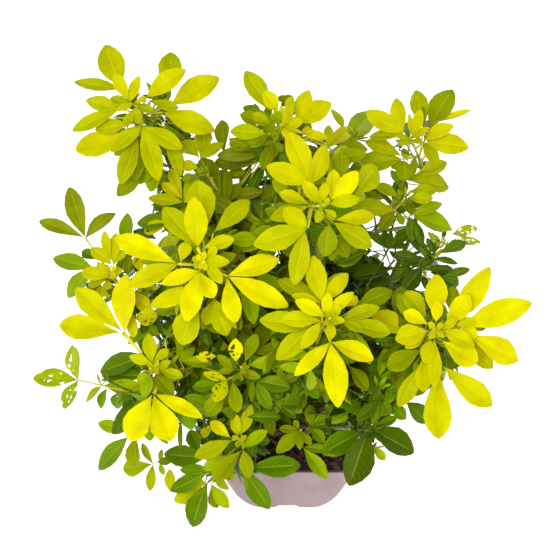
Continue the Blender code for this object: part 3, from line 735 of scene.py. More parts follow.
def bark_tube(limb, name, sides=BARK_SIDES, old=False, turns=TURNS_GREEN[True]):
    """A closed tube along a limb with ridges, leaf scars and a collar at its foot, as a bmesh."""
    bm = bmesh.new()
    youth = bm.verts.layers.float.new("youth")
    length = length_of(limb)
    count = max(int(length / RING_SPACING), 6)
    shift = Vector((len(name), ord(name[0]), ord(name[-1])))
    frames, shares = [], []
    side = Vector((0.3, 0.9, 0.2))
    for i in range(count + 1):
        share = i / count
        place, radius = at(limb, share)
        before, after = at(limb, max(share - 0.02, 0))[0], at(limb, min(share + 0.02, 1))[0]
        heading = (after - before).normalized()
        if not old:
            radius *= 1 + COLLAR_SWELL * math.exp(-share * length / COLLAR_REACH * 2)
            scar = share * length % SCAR_SPACING / SCAR_SPACING - 0.5
            radius *= 1 + SCAR_SWELL * math.exp(-(scar * 9) ** 2)
        frames.append(ring_frame(place, heading, radius, side))
        shares.append(share)
    bmesh.ops.create_circle(bm, cap_ends=True, segments=sides, radius=1.0, matrix=frames[0])
    cap = bm.faces[:][0]
    rings = [list(cap.verts)]
    for last, new in zip(frames, frames[1:]):
        cap = extruded(bm, cap)
        bmesh.ops.transform(bm, matrix=new @ last.inverted(), verts=cap.verts)
        rings.append(list(cap.verts))
    for ring, matrix, share in zip(rings, frames, shares):
        centre = matrix.translation
        green = 0.0 if old else (share - turns[0]) / (turns[1] - turns[0])
        for n, vert in enumerate(ring):
            angle = math.tau * n / sides
            spot = Vector((math.cos(angle) * 1.6, math.sin(angle) * 1.6, share * length * 55)) + shift
            ridge = noise.noise(spot) * RIDGE_DEPTH * (1.3 if old else 1.0 - 0.6 * max(green, 0.0))
            vert.co = centre + (vert.co - centre) * (1 + ridge)
            vert[youth] = min(max(green, 0.0), 1.0)
    bmesh.ops.recalc_face_normals(bm, faces=bm.faces)
    for face in bm.faces:
        face.smooth = True
    return bm


def mesh_of(bm, name="part"):
    mesh = bpy.data.meshes.new(name)
    bm.to_mesh(mesh)
    bm.free()
    return mesh


boughs_bm = bmesh.new()
for shoot in SHOOTS:
    turns = TURNS_GREEN[shoot.parent == "stem"]
    stamp(boughs_bm, mesh_of(bark_tube(limbs[shoot.name], shoot.name, turns=turns)), Matrix())
stem_bm = bark_tube(limbs["stem"], "stem", sides=22, old=True)

# %% Bark's finish
bark, tree, shader = new_finish("bark", 0.8)
age = tree.nodes.new("ShaderNodeAttribute")
age.attribute_name = "youth"
fine = grain(tree, 420, 5)
old_wood = blend(tree, ramp(tree, fine, 0.3, 0.7), rgb(0.055, 0.032, 0.018), rgb(0.20, 0.14, 0.085))
patches = ramp(tree, grain(tree, 160, 3), 0.3, 0.7)
young_wood = blend(tree, patches, rgb(0.16, 0.22, 0.03), rgb(0.30, 0.36, 0.05))
wire(tree, blend(tree, age.outputs["Fac"], old_wood, young_wood), shader.inputs["Base Color"])
relief(tree, shader, fine, 0.0004)
add_piece("stem_bark", stem_bm, [bark], ["stem"])
add_piece("bough_bark", boughs_bm, [bark], ["bough_" + shoot.name for shoot in SHOOTS])

# %% [markdown]
# ## Leaflets
# A leaflet is a thin blade, widest past its middle, with a blunt tip and a tapering root. It folds
# along its midrib, and arches a little. A sphere of few faces, flattened and drawn out, is a closed
# blade with both its sides, and its seams are marked sharp along the midrib and margin. A handful of
# such blades, each bent in its own way, is enough: every leaflet on the plant is a moved and scaled
# copy of one of them.

# %% The leaflet shapes
LEAFLET_WIDTH = 0.38
LEAFLET_WIDEST = (0.48, 0.68)
CLUB_WIDEST = (0.67, 0.73)
CLUB_SHAPES = 3
ROOT_TAPER = (1.0, 1.6)  # at the least and the greatest share of the widest place
TIP_TAPER = 0.70
LEAFLET_THICKNESS = 0.016
BLADE_SEGMENTS = 8
BLADE_RINGS = 8
BLADE_SHAPES = 9


def blade_width(t, widest=0.56):
    """Half the width of a leaflet at a share of its length. The further out its widest place, the
    slimmer its root."""
    slim = (widest - LEAFLET_WIDEST[0]) / (LEAFLET_WIDEST[1] - LEAFLET_WIDEST[0])
    if t <= widest:
        taper = ROOT_TAPER[0] + (ROOT_TAPER[1] - ROOT_TAPER[0]) * slim
        shape = math.sin(math.pi / 2 * max(t, 0.0) / widest) ** taper
    else:
        shape = max(math.cos(math.pi / 2 * (t - widest) / (1 - widest)), 0.0) ** TIP_TAPER
    return 0.5 * LEAFLET_WIDTH * shape


def blade_bend(t, s, fold, arch, wave):
    """How far a blade's surface rises at a share of its length and across it from -1 to 1. Its midrib
    lies as far below the line from root to tip as its margins lie above."""
    valley = blade_width(t) * fold * (abs(s) - 0.3 * s * s - 0.35)
    ripple = wave * math.sin(9 * t + 2 * s) * abs(s) * 0.012
    return valley + arch * (t - t * t) + ripple


def blade_mesh(shape_seed, shade, underside_index, range_of_widest=LEAFLET_WIDEST):
    """A leaflet one unit long, along +X, with its face up. Its top has one finish and its back another."""
    shape = random.Random(shape_seed)
    fold, arch, wave = shape.uniform(0.3, 0.85), shape.uniform(-0.02, 0.24), shape.uniform(-1, 1)
    sweep, widest = shape.uniform(-0.07, 0.07), shape.uniform(*range_of_widest)
    bm = bmesh.new()
    bmesh.ops.create_uvsphere(bm, u_segments=BLADE_SEGMENTS, v_segments=BLADE_RINGS, radius=1.0)
    uv = bm.loops.layers.uv.new("blade")
    spots = {}
    for vert in bm.verts:
        x, y, z = vert.co
        t = 0.5 * (1 - max(min(z, 1.0), -1.0))
        round_about = math.atan2(y, x)
        pole = math.hypot(x, y) < 1e-5
        s = 0.0 if pole else math.cos(round_about)
        thick = 0.0 if pole else LEAFLET_THICKNESS * 0.5 * math.sin(round_about)
        across = s * blade_width(t, widest) + sweep * (t - t * t)
        vert.co = (t, across, blade_bend(t, s, fold, arch, wave) + thick)
        spots[vert] = (t, s, thick)
    for face in bm.faces:
        top = sum(spots[vert][2] for vert in face.verts) > 0
        face.smooth = True
        face.material_index = shade if top else underside_index
        for loop in face.loops:
            t, s, _ = spots[loop.vert]
            loop[uv].uv = (0.5 + 0.5 * s, t)
    for edge in bm.edges:
        across = [abs(spots[vert][1]) for vert in edge.verts]
        if min(across) > 0.99 or max(across) < 0.01:
            edge.smooth = False
    bmesh.ops.recalc_face_normals(bm, faces=bm.faces)
    return mesh_of(bm, "blade")


# %% [markdown]
# Something has eaten the leaves of two shoots and left holes and ragged margins. Such a blade starts
# as a grid, loses the faces that lie in a bite, and only then gets its thickness, so its cut edges
# are closed.

# %% A leaflet that was eaten
EATEN_SHAPES = 4
BITES = {"eaten": (11, 0.018, 0.045), "ragged": (7, 0.04, 0.08)}  # how many, and their radii
HALF_WIDTH = 0.5 * LEAFLET_WIDTH


def eaten_mesh(shape_seed, shade, underside_index, kind):
    """A leaflet with holes and a ragged margin."""
    shape = random.Random(shape_seed)
    count, least, most = BITES[kind]
    bm = bmesh.new()
    bmesh.ops.create_grid(bm, x_segments=20, y_segments=12, size=1.0)
    uv = bm.loops.layers.uv.new("blade")
    spots = {}
    for vert in bm.verts:
        t, s = 0.5 * (vert.co.x + 1) * 0.97 + 0.02, vert.co.y
        spots[vert] = (t, s)
        vert.co = (t, s * blade_width(t), blade_bend(t, s, 0.3, 0.2, 0.5))
    bites = []
    for _ in range(count):
        bites.append((shape.uniform(0.25, 1.0), shape.uniform(-1.1, 1.1), shape.uniform(least, most)))
    gone = []
    for face in bm.faces:
        t = sum(spots[vert][0] for vert in face.verts) / 4
        s = sum(spots[vert][1] for vert in face.verts) / 4
        if any(math.hypot(t - a, (s - b) * HALF_WIDTH) < size for a, b, size in bites) and abs(s) > 0.1:
            gone.append(face)
        for loop in face.loops:
            loop[uv].uv = (0.5 + 0.5 * spots[loop.vert][1], spots[loop.vert][0])
    bmesh.ops.delete(bm, geom=gone, context="FACES")
    bmesh.ops.recalc_face_normals(bm, faces=bm.faces)
    for face in bm.faces:
        face.smooth = True
        face.material_index = shade
        if face.normal.z < 0:
            face.normal_flip()
    bmesh.ops.solidify(bm, geom=bm.faces[:], thickness=LEAFLET_THICKNESS)
    for face in bm.faces:
        if face.normal.z < 0:
            face.material_index = underside_index
    return mesh_of(bm, "eaten_blade")


# %% [markdown]
# ## Leaf finishes
# New leaves are golden, older ones lime, then mid green, and the oldest deep green. Each tone has four
# plain shades and a paler matt back. The shades are dealt out leaf by leaf; they are partly the leaves'
# own variation and partly painted light and shade, lighter for leaves in light and darker for leaves
# in shade, and lime's olive shades are golden leaves in painted shade. The finish reads the blade's
# own map: its midrib is a fine pale line, and faint veins slant out from it.

# %% The leaf finishes
# Within each tone the shades run from a lit copy to shaded copies of one leaf colour: painted light and shade.
# Lime's two olive shades stand for golden leaves in painted shade.
LEAF_TONES_LIT_AND_SHADED = {
    "gold": ((0.56, 0.525, 0.0), (0.45, 0.44, 0.0), (0.36, 0.385, 0.0), (0.30, 0.34, 0.0)),
    "lime": ((0.19, 0.235, 0.0), (0.13, 0.17, 0.0), (0.282, 0.357, 0.0), (0.225, 0.31, 0.0)),
    "green": ((0.185, 0.29, 0.0), (0.101, 0.205, 0.0), (0.058, 0.138, 0.0), (0.066, 0.148, 0.0)),
    "deep": ((0.041, 0.094, 0.0), (0.046, 0.102, 0.0), (0.031, 0.070, 0.0), (0.023, 0.056, 0.0)),
}
RIB_COLOURS = {
    "gold": (0.60, 0.56, 0.0),
    "lime": (0.40, 0.44, 0.0),
    "green": (0.34, 0.42, 0.02),
    "deep": (0.24, 0.31, 0.02),
}
BACK_COLOURS = {
    "gold": (0.40, 0.42, 0.02),
    "lime": (0.25, 0.31, 0.015),
    "green": (0.16, 0.25, 0.02),
    "deep": (0.075, 0.13, 0.012),
}
SHADES = 4
VEINS = 9
VEIN_SHARE = 0.07
RIB_SHARE = 0.48
LEAF_ROUGHNESS = {"gold": 0.42, "lime": 0.38, "green": 0.33, "deep": 0.33}
LEAF_SHEEN = {"gold": 0.16, "lime": 0.20, "green": 0.34, "deep": 0.36}
SHEEN_TINT = (1.0, 0.95, 0.05)


def leaf_finish(tone, number, colour):
    material, tree, shader = new_finish(f"{tone}_leaf_{number}", LEAF_ROUGHNESS[tone])
    rib_colour = RIB_COLOURS[tone]
    shader.inputs["Specular IOR Level"].default_value = LEAF_SHEEN[tone]
    shader.inputs["Specular Tint"].default_value = rgb(*SHEEN_TINT)
    blade_map = tree.nodes.new("ShaderNodeUVMap")
    blade_map.uv_map = "blade"
    split = put(tree, "SeparateXYZ", Vector=blade_map.outputs["UV"])
    side = compute(tree, "ABSOLUTE", compute(tree, "SUBTRACT", split.outputs["X"], 0.5))
    rib = ramp(tree, side, 0.008, 0.04, 1.0, 0.0)
    rib = compute(tree, "MULTIPLY", rib, ramp(tree, split.outputs["Y"], 0.80, 0.94, 1.0, 0.0))
    slant = compute(tree, "SUBTRACT", split.outputs["Y"], compute(tree, "MULTIPLY", side, 0.42))
    wave = compute(tree, "SINE", compute(tree, "MULTIPLY", slant, math.tau * VEINS))
    vein = ramp(tree, wave, 0.75, 1.0)
    base = blend(
        tree, ramp(tree, grain(tree, 45, 3), 0.3, 0.7),
        rgb(*(0.84 * part for part in colour)), rgb(*(min(1.08 * part, 1) for part in colour)),
    )
    base = blend(tree, compute(tree, "MULTIPLY", vein, VEIN_SHARE), base, rgb(*rib_colour))
    base = blend(tree, compute(tree, "MULTIPLY", rib, RIB_SHARE), base, rgb(*rib_colour))
    wire(tree, base, shader.inputs["Base Color"])
    relief(tree, shader, compute(tree, "MULTIPLY", vein, -1.0), 0.00012)
    return material


def back_finish(name, colour):
    material, tree, shader = new_finish(name, 0.7)
    shader.inputs["Specular IOR Level"].default_value = 0.15
    shader.inputs["Specular Tint"].default_value = rgb(*SHEEN_TINT)
    base = blend(
        tree, ramp(tree, grain(tree, 70, 3), 0.3, 0.7), rgb(*(0.9 * part for part in colour)), rgb(*colour)
    )
    wire(tree, base, shader.inputs["Base Color"])
    return material


leaf_finishes = {}
blades = {}
clubs = {}
eaten = {}
for tone, shades in LEAF_TONES_LIT_AND_SHADED.items():
    finishes = [leaf_finish(tone, n, colour) for n, colour in enumerate(shades)]
    finishes.append(back_finish(tone + "_leaf_back", BACK_COLOURS[tone]))
    leaf_finishes[tone] = finishes
for shade in range(SHADES):
    blades[shade] = [blade_mesh(SEED + n, shade, SHADES) for n in range(BLADE_SHAPES)]
    clubs[shade] = [blade_mesh(SEED + 50 + n, shade, SHADES, CLUB_WIDEST) for n in range(CLUB_SHAPES)]
    for kind in BITES:
        eaten[shade, kind] = [eaten_mesh(SEED + n, shade, SHADES, kind) for n in range(EATEN_SHAPES)]
print("blade faces", len(blades[0][0].polygons), "eaten", len(eaten[0, "eaten"][0].polygons))

# %% [markdown]
# ## Laying leaflets and stalks
# Every leaflet is a copy of a blade, turned along its own direction and stretched to its own length
# and width. Each tone gathers in two bmeshes, one for each half of the plant, so that no piece grows
# too large. A stalk is a slim rod of six sides.

# %% Leaflets and stalks
SHADE_CHANCES = (0.25, 0.35, 0.15, 0.25)
PETIOLE_RADIUS = 0.0008
TWIG_RADIUS = 0.0016

leaf_bms = {(tone, side): bmesh.new() for tone in LEAF_TONES_LIT_AND_SHADED for side in ("left", "right")}
stalks_bm = bmesh.new()
leaf_counts = dict.fromkeys(LEAF_TONES_LIT_AND_SHADED, 0)


def rod_mesh(sides, rings, end_girth):
    """A straight rod one unit long along +X, as thick as one unit at its foot."""
    bm = bmesh.new()
    upright = Matrix.Rotation(math.pi / 2, 4, "Y")
    bmesh.ops.create_circle(bm, cap_ends=True, segments=sides, radius=1.0, matrix=upright)
    cap = bm.faces[:][0]
    for _ in range(rings):
        cap = extruded(bm, cap)
        shrink = end_girth ** (1 / rings)
        bmesh.ops.scale(bm, vec=(1, shrink, shrink), verts=cap.verts)
        bmesh.ops.translate(bm, vec=(1 / rings, 0, 0), verts=cap.verts)
    bmesh.ops.recalc_face_normals(bm, faces=bm.faces)
    for face in bm.faces:
        face.smooth = len(face.verts) == 4
    return mesh_of(bm, "rod")


rod_shape = rod_mesh(6, 2, 0.85)
dark_rod_shape = rod_shape.copy()
for face in dark_rod_shape.polygons:
    face.material_index = 1


def side_of(place):
    return "left" if place[0] < 0 else "right"


def lay_rod(foot, tip, radius, tone="gold"):
    """A stalk between two places. Stalks of green and deep leaves have the darker finish."""
    shape = dark_rod_shape if tone in ("green", "deep") else rod_shape
    along = tip - foot
    turn = along.to_track_quat("X", "Z").to_matrix().to_4x4()
    scale = Matrix.Diagonal((along.length, radius, radius, 1.0))
    stamp(stalks_bm, shape, Matrix.Translation(foot) @ turn @ scale)


def lay_leaflet(root, along, up, length, girth, tone, shade, draw, kind="whole"):
    """One blade from its root along a direction. Its girth is the length that its width goes with."""
    across = up.cross(along).normalized()
    up = along.cross(across)
    shapes = {"whole": blades[shade], "club": clubs[shade]}.get(kind) or eaten[shade, kind]
    shape = draw.choice(shapes)
    rows = Matrix((along, across, up)).transposed().to_4x4()
    size = Matrix.Diagonal((length, girth, 0.5 * (length + girth), 1.0))
    stamp(leaf_bms[tone, side_of(root)], shape, Matrix.Translation(root) @ rows @ size)
    leaf_counts[tone] += 1


def turned(axis, degrees, spread, jitter):
    return Matrix.Rotation(math.radians(degrees + jitter.uniform(-spread, spread)), 3, axis)


def twig_place(shoot, below):
    """The place and heading of the shoot at a distance below its tip, along its twig and bough."""
    axis = pointing(shoot.bearing, shoot.lean)
    if below <= TWIG_LENGTH:
        return Vector(shoot.hub) - axis * below, axis
    limb = limbs[shoot.name]
    share = max(1.0 - (below - TWIG_LENGTH) / length_of(limb), 0.0)
    place, _ = at(limb, share)
    lower, _ = at(limb, max(share - 0.03, 0.0))
    return place, (place - lower).normalized() if share > 0.03 else axis


# %% [markdown]
# ## The leaves in view
# The leaves that face the photographer are laid one by one, for they make the plant's own outline.
# One row gives a leaf: how far below the shoot's tip it sits, in millimetres, and in pixels of the
# photograph, the place where its leaflets meet and each one's tip and width. Its depth follows from
# the shoot: the leaf lies where those sight lines cross the plane across the shoot at that distance.

# %% The leaves in view
# A seen leaf's tone and shade follow how bright it shows: its own colour with painted light or shade.
SeenLeaf = namedtuple("SeenLeaf", "drop_mm hub_px tips_px tone shade kind bend_px", defaults=("whole", None))
SEEN_LEAVES = {
    "left_top": (
        SeenLeaf(40, (121, 88), ((105.5, 44.5, 26),), "gold", 2),
        SeenLeaf(45, (167, 98), ((171, 52, 23),), "gold", 3),
        SeenLeaf(30, (139, 135), ((75, 150, 24),), "gold", 1),
        SeenLeaf(18, (142, 125.5), ((111, 152, 15), (159, 182, 20), (183, 149, 17)), "gold", 2),
        SeenLeaf(24, (171, 105), ((219.5, 77.5, 24),), "gold", 1),
        SeenLeaf(25, (163, 112), ((215, 131, 22),), "gold", 1),
        SeenLeaf(34, (166, 128), ((181, 177, 14),), "gold", 2),
        SeenLeaf(26, (120, 109), ((86, 100, 16), (72, 131, 15)), "gold", 2),
        SeenLeaf(28, (128, 124), ((95, 130, 16),), "gold", 2),
        SeenLeaf(10, (146, 98), ((186, 69.5, 20),), "gold", 1),
        SeenLeaf(7, (130, 102), ((114, 73, 13), (139.5, 76, 11)), "gold", 1),
        SeenLeaf(3, (134, 108), ((126, 127, 10), (140, 124, 12)), "gold", 2),
        SeenLeaf(2, (133, 104), ((115, 111, 7), (146, 97, 6)), "gold", 1),
        SeenLeaf(60, (146, 172), ((117, 196, 18),), "lime", 0),
        SeenLeaf(62, (158, 158), ((139, 184, 15), (151, 192, 15)), "lime", 3),
        SeenLeaf(63, (150, 150), ((165, 187, 12),), "lime", 0),
        SeenLeaf(64, (172, 140), ((182, 178, 13),), "gold", 3),
        SeenLeaf(41, (122, 89), ((74, 82, 13),), "gold", 3),
        SeenLeaf(31, (139, 136), ((120.5, 185, 19),), "gold", 3),
        SeenLeaf(11, (147, 100), ((179, 108.5, 11),), "gold", 3),
        SeenLeaf(9, (131, 104), ((110, 98, 10), (154, 111, 9)), "gold", 3),
        SeenLeaf(58, (140, 140), ((114, 155, 12),), "gold", 2),
        SeenLeaf(66, (137, 136), ((134, 154, 9),), "deep", 2),
        SeenLeaf(50, (142, 140), ((135, 182, 15),), "lime", 0),
    ),
    "top_middle": (
        SeenLeaf(40, (271, 112), ((245, 71, 20),), "gold", 3),
        SeenLeaf(44, (292, 99), ((276, 99, 7),), "lime", 1),
        SeenLeaf(48, (264, 116), ((243, 107, 12),), "green", 3),
        SeenLeaf(46, (265, 124), ((240, 114, 14),), "lime", 0),
        SeenLeaf(8, (278, 113), ((264, 91, 15),), "gold", 0),
        SeenLeaf(9, (285, 113), ((293, 96, 9),), "gold", 2),
        SeenLeaf(12, (272, 124), ((252, 114, 10), (254, 121, 9)), "gold", 3),
        SeenLeaf(16, (267, 134), ((230, 131.5, 16),), "gold", 3),
        SeenLeaf(20, (268, 134), ((247, 144, 10), (250, 147, 9)), "lime", 0),
        SeenLeaf(18, (297, 122), ((309, 90, 17), (331.5, 103, 22)), "gold", 1),
        SeenLeaf(24, (300, 132), ((312, 130, 8), (328, 138, 10)), "gold", 0),
        SeenLeaf(6, (282, 126), ((304, 121, 12), (287, 108, 6), (295, 107, 7)), "gold", 1),
        SeenLeaf(3, (276, 124), ((280, 112, 5), (270, 117, 5), (284, 133, 5)), "lime", 3),
        SeenLeaf(2, (273, 130), ((270, 124, 4), (279, 128, 4), (272, 136, 5)), "lime", 0),
        SeenLeaf(16, (273, 142), ((262, 170, 13), (274, 158, 8), (283, 152, 9)), "lime", 1),
        SeenLeaf(30, (251, 147), ((228.5, 139, 9), (232, 147, 8)), "lime", 0),
        SeenLeaf(60, (279, 108), ((293, 96, 11),), "lime", 1),
        SeenLeaf(5, (284, 121), ((281, 105, 7), (288, 105, 6), (294, 104, 7)), "gold", 1),
        SeenLeaf(4, (280, 123), ((274, 108, 6), (270, 114, 6)), "gold", 3),
    ),
    "right_top": (
        SeenLeaf(16, (403, 134), ((366, 111, 19), (396, 98, 15)), "gold", 1),
        SeenLeaf(19, (405, 134), ((369, 137, 11),), "gold", 3),
        SeenLeaf(18, (424, 141), ((454, 125, 14),), "gold", 0),
        SeenLeaf(34, (424, 127), ((416, 90, 18),), "gold", 3),
        SeenLeaf(38, (438, 122), ((471, 110, 7),), "gold", 0),
        SeenLeaf(5, (413, 138), ((409, 113, 6), (421, 109, 11), (430, 128, 8)), "gold", 1),
        SeenLeaf(4, (412, 140), ((398, 145, 8), (423, 143, 7), (394, 135, 6)), "gold", 3),
        SeenLeaf(36, (402, 159), ((350, 168, 21),), "lime", 2),
        SeenLeaf(40, (408, 162), ((403, 148, 8), (391, 168, 9)), "gold", 2),
        SeenLeaf(19, (425, 143), ((469, 148, 21),), "gold", 1),
        SeenLeaf(21, (424, 142), ((438.5, 166, 13),), "gold", 3),
        SeenLeaf(35, (429, 128), ((453, 89.5, 23),), "lime", 0),
        SeenLeaf(34, (402, 156), ((365, 141, 15),), "gold", 2),
        SeenLeaf(37, (404, 160), ((404, 182, 18),), "lime", 0),
        SeenLeaf(38, (412, 180), ((415, 157, 8),), "lime", 0),
    ),
    "right_upper": (
        SeenLeaf(26, (411, 177), ((447, 162, 14),), "gold", 1),
        SeenLeaf(28, (402, 197), ((402, 178, 11),), "lime", 1),
        SeenLeaf(27, (400, 187), ((391, 170, 9),), "green", 0),
        SeenLeaf(14, (409, 192), ((437, 190, 13),), "gold", 3),
        SeenLeaf(10, (409, 200), ((433, 198, 13),), "gold", 2),
        SeenLeaf(30, (413, 215), ((442, 203, 12),), "lime", 2),
        SeenLeaf(20, (396, 210), ((346, 207, 18),), "gold", 2),
        SeenLeaf(34, (386, 199), ((361, 195, 9),), "lime", 3),
        SeenLeaf(18, (399, 197), ((374, 185, 12),), "lime", 2),
        SeenLeaf(31, (412, 217), ((406, 198, 12),), "lime", 1),
        SeenLeaf(6, (400, 201), ((393, 203, 4), (397, 193, 5), (405, 206, 5)), "green", 0),
        SeenLeaf(21, (396, 210), ((380, 230, 13), (403, 225, 8)), "lime", 0),
        SeenLeaf(32, (409, 216), ((412, 242, 14),), "green", 2),
        SeenLeaf(36, (412, 217), ((422, 247, 11),), "deep", 0),
        SeenLeaf(31, (413, 215), ((451.5, 229, 20),), "lime", 3),
        SeenLeaf(26, (405, 179), ((449, 187, 21),), "gold", 3),
    ),
    "upper_middle": (
        SeenLeaf(22, (311, 184), ((266, 166, 21), (288, 131, 23), (325, 144, 18)), "gold", 1),
        SeenLeaf(10, (331, 200), ((334, 169, 15), (358, 171, 18)), "gold", 0),
        SeenLeaf(34, (353, 196), ((376, 165, 24),), "gold", 3),
        SeenLeaf(40, (342, 180), ((341, 152, 15),), "lime", 0),
        SeenLeaf(22, (334, 220), ((375, 216, 15),), "gold", 1),
        SeenLeaf(16, (308, 227), ((283, 208, 19),), "gold", 1),
        SeenLeaf(20, (305, 228), ((294, 286, 20),), "gold", 2),
        SeenLeaf(14, (311, 205), ((279, 193, 13),), "gold", 1),
        SeenLeaf(24, (309, 206), ((270, 219, 16),), "gold", 2),
        SeenLeaf(5, (320, 204), ((302, 180, 13), (326, 182, 10)), "gold", 1),
        SeenLeaf(3, (323, 208), ((316, 223, 9), (336, 218, 8), (329, 197, 6)), "gold", 2),
        SeenLeaf(2, (322, 206), ((318, 199, 5), (327, 205, 5), (319, 211, 5)), "lime", 2),
        SeenLeaf(40, (333, 235), ((348, 257, 13), (334, 262, 12)), "lime", 1),
        SeenLeaf(44, (352, 232), ((352, 254, 13),), "lime", 1),
        SeenLeaf(11, (328, 204), ((361, 199, 13),), "gold", 2),
        SeenLeaf(24, (333, 222), ((372, 247, 21),), "gold", 3),
        SeenLeaf(23, (329, 223), ((324, 257, 20),), "lime", 0),
        SeenLeaf(17, (308, 228), ((253, 245, 24),), "gold", 2),
        SeenLeaf(30, (334, 236), ((348, 258, 15), (331, 261, 12)), "lime", 1),
        SeenLeaf(62, (366, 250), ((336, 265, 14),), "deep", 0),
        SeenLeaf(50, (322, 158), ((367, 154, 15),), "lime", 0),
    ),
    "left_middle": (
        SeenLeaf(34, (203, 240), ((198.5, 180, 28),), "gold", 2),
        SeenLeaf(35, (213, 233), ((250, 200, 19),), "gold", 3),
        SeenLeaf(38, (222, 240), ((258, 239, 15),), "lime", 3),
        SeenLeaf(12, (198, 247), ((194, 196, 23),), "gold", 1),
        SeenLeaf(15, (197, 248), ((163, 207, 22),), "gold", 3),
        SeenLeaf(14, (203, 248), ((235, 239, 14),), "gold", 1),
        SeenLeaf(20, (178, 264), ((114, 237, 22),), "gold", 0),
        SeenLeaf(24, (180, 263), ((129, 286, 20), (188, 241, 13)), "gold", 1),
        SeenLeaf(22, (227, 276), ((280, 259, 20), (289, 307, 22), (236, 323, 19)), "gold", 0),
        SeenLeaf(14, (199, 271), ((161, 284, 15), (186, 322, 22), (214, 298, 17)), "gold", 0),
        SeenLeaf(26, (196, 287), ((150, 306, 17),), "gold", 1),
        SeenLeaf(34, (199, 300), ((181, 345, 27),), "gold", 2),
        SeenLeaf(6, (205, 260), ((230, 262, 12), (217, 247, 9), (222, 284, 12)), "gold", 1),
        SeenLeaf(3, (200, 262), ((192, 258, 7), (206, 252, 7), (208, 270, 7), (194, 268, 7)), "gold", 1),
        SeenLeaf(2, (201, 262), ((197, 254, 5), (206, 262, 5), (200, 269, 5)), "gold", 0),
        SeenLeaf(44, (214, 299), ((205, 325, 14), (227, 336, 20), (237, 329, 9)), "gold", 2),
        SeenLeaf(52, (262, 222), ((252, 200, 12), (268, 203, 10)), "deep", 3),
        SeenLeaf(34, (180, 262), ((140, 262, 10),), "gold", 3),
    ),
    "middle": (
        SeenLeaf(20, (322, 303), ((291, 295, 10), (313, 255, 20), (348, 273, 15)), "gold", 1),
        SeenLeaf(9, (326, 317), ((295, 300, 14), (329, 292, 11), (354, 292, 12)), "gold", 0),
        SeenLeaf(14, (321, 321), ((280, 320, 16), (301, 349, 13)), "gold", 1),
        SeenLeaf(28, (313, 326), ((259, 320, 21), (276, 360, 20)), "gold", 2),
        SeenLeaf(18, (330.5, 342), ((294, 376, 15), (338, 408, 24), (374, 360, 18)), "gold", 0),
        SeenLeaf(18, (340, 320), ((380, 307, 14), (391, 333, 17), (364, 331, 10)), "gold", 3),
        SeenLeaf(4, (331, 319), ((345, 321, 8), (330, 340, 10), (341, 305, 8)), "gold", 1),
        SeenLeaf(2, (330, 318), ((324, 311, 5), (335, 312, 5), (324, 325, 5), (337, 325, 5)), "gold", 2),
        SeenLeaf(40, (357, 306), ((393, 291, 18),), "lime", 1),
        SeenLeaf(44, (345, 307), ((357, 296, 11),), "gold", 0),
    ),
    "right": (
        SeenLeaf(26, (434, 314), ((437, 274, 22),), "gold", 0),
        SeenLeaf(32, (426, 318), ((405, 291, 19),), "gold", 2),
        SeenLeaf(33, (418, 322), ((397, 293, 16),), "lime", 3),
        SeenLeaf(34, (451, 312), ((454, 286, 15),), "lime", 0),
        SeenLeaf(9, (429, 325), ((403, 312, 14),), "gold", 0),
        SeenLeaf(8, (436, 322), ((438, 300, 12),), "gold", 0),
        SeenLeaf(14, (444, 327), ((470, 294, 20),), "gold", 0),
        SeenLeaf(16, (428, 331), ((395, 340, 21),), "gold", 0),
        SeenLeaf(17, (426, 335), ((405, 348, 11),), "gold", 0),
        SeenLeaf(34, (408, 333), ((371, 315, 22),), "gold", 0),
        SeenLeaf(26, (423, 349), ((387, 368, 20),), "lime", 0),
        SeenLeaf(28, (423, 362), ((398, 407, 17),), "gold", 2),
        SeenLeaf(11, (427, 350), ((423, 392, 16),), "gold", 1),
        SeenLeaf(10, (434, 338), ((434, 389, 14),), "gold", 1),
        SeenLeaf(9, (431, 340), ((425, 364, 14),), "gold", 1),
        SeenLeaf(22, (440, 364), ((492, 406, 23),), "gold", 1, "club"),
        SeenLeaf(24, (438, 366), ((438.5, 439, 27),), "gold", 1, "club"),
        SeenLeaf(15, (441, 340), ((478, 363, 23),), "gold", 0),
        SeenLeaf(12, (442, 330), ((475, 347, 16), (458, 318, 9)), "gold", 1),
        SeenLeaf(20, (452, 321), ((490, 267, 23),), "gold", 0),
        SeenLeaf(21, (463, 326), ((532, 303, 26),), "gold", 0),
        SeenLeaf(22, (466, 334), ((518, 361, 25),), "gold", 0, "club"),
        SeenLeaf(18, (455, 326), ((475, 319, 9),), "gold", 0),
        SeenLeaf(34, (467, 348), ((493, 368, 17),), "gold", 1),
        SeenLeaf(3, (436, 330), ((428, 322, 6), (443, 323, 6), (429, 339, 6), (444, 338, 6)), "gold", 1),
        SeenLeaf(22, (470, 327), ((486, 328, 8),), "lime", 0),
        SeenLeaf(19, (460, 327), ((478, 337, 12), (475, 321, 9)), "gold", 0),
        SeenLeaf(24, (464, 335), ((492, 357, 12),), "gold", 1),
    ),
    "left": (
        SeenLeaf(16, (125, 333), ((126, 274, 24),), "gold", 0, "whole", (147, 360)),
        SeenLeaf(18, (122, 333), ((59, 325, 25),), "gold", 1, "whole", (147, 360)),
        SeenLeaf(18, (153, 393), ((130, 441, 27), (171, 441, 28)), "gold", 0, "club"),
        SeenLeaf(10, (152, 363), ((129, 356, 10), (148, 333, 14), (169, 349, 9)), "gold", 2),
        SeenLeaf(6, (157, 369), ((171, 361, 8), (183, 377, 10)), "gold", 2),
        SeenLeaf(16, (156, 374), ((174, 395, 15),), "lime", 1),
        SeenLeaf(14, (150, 374), ((137, 382, 12), (144, 398, 13)), "lime", 3),
        SeenLeaf(3, (153, 367), ((147, 362, 5), (160, 363, 5), (150, 373, 5), (159, 372, 5)), "gold", 2),
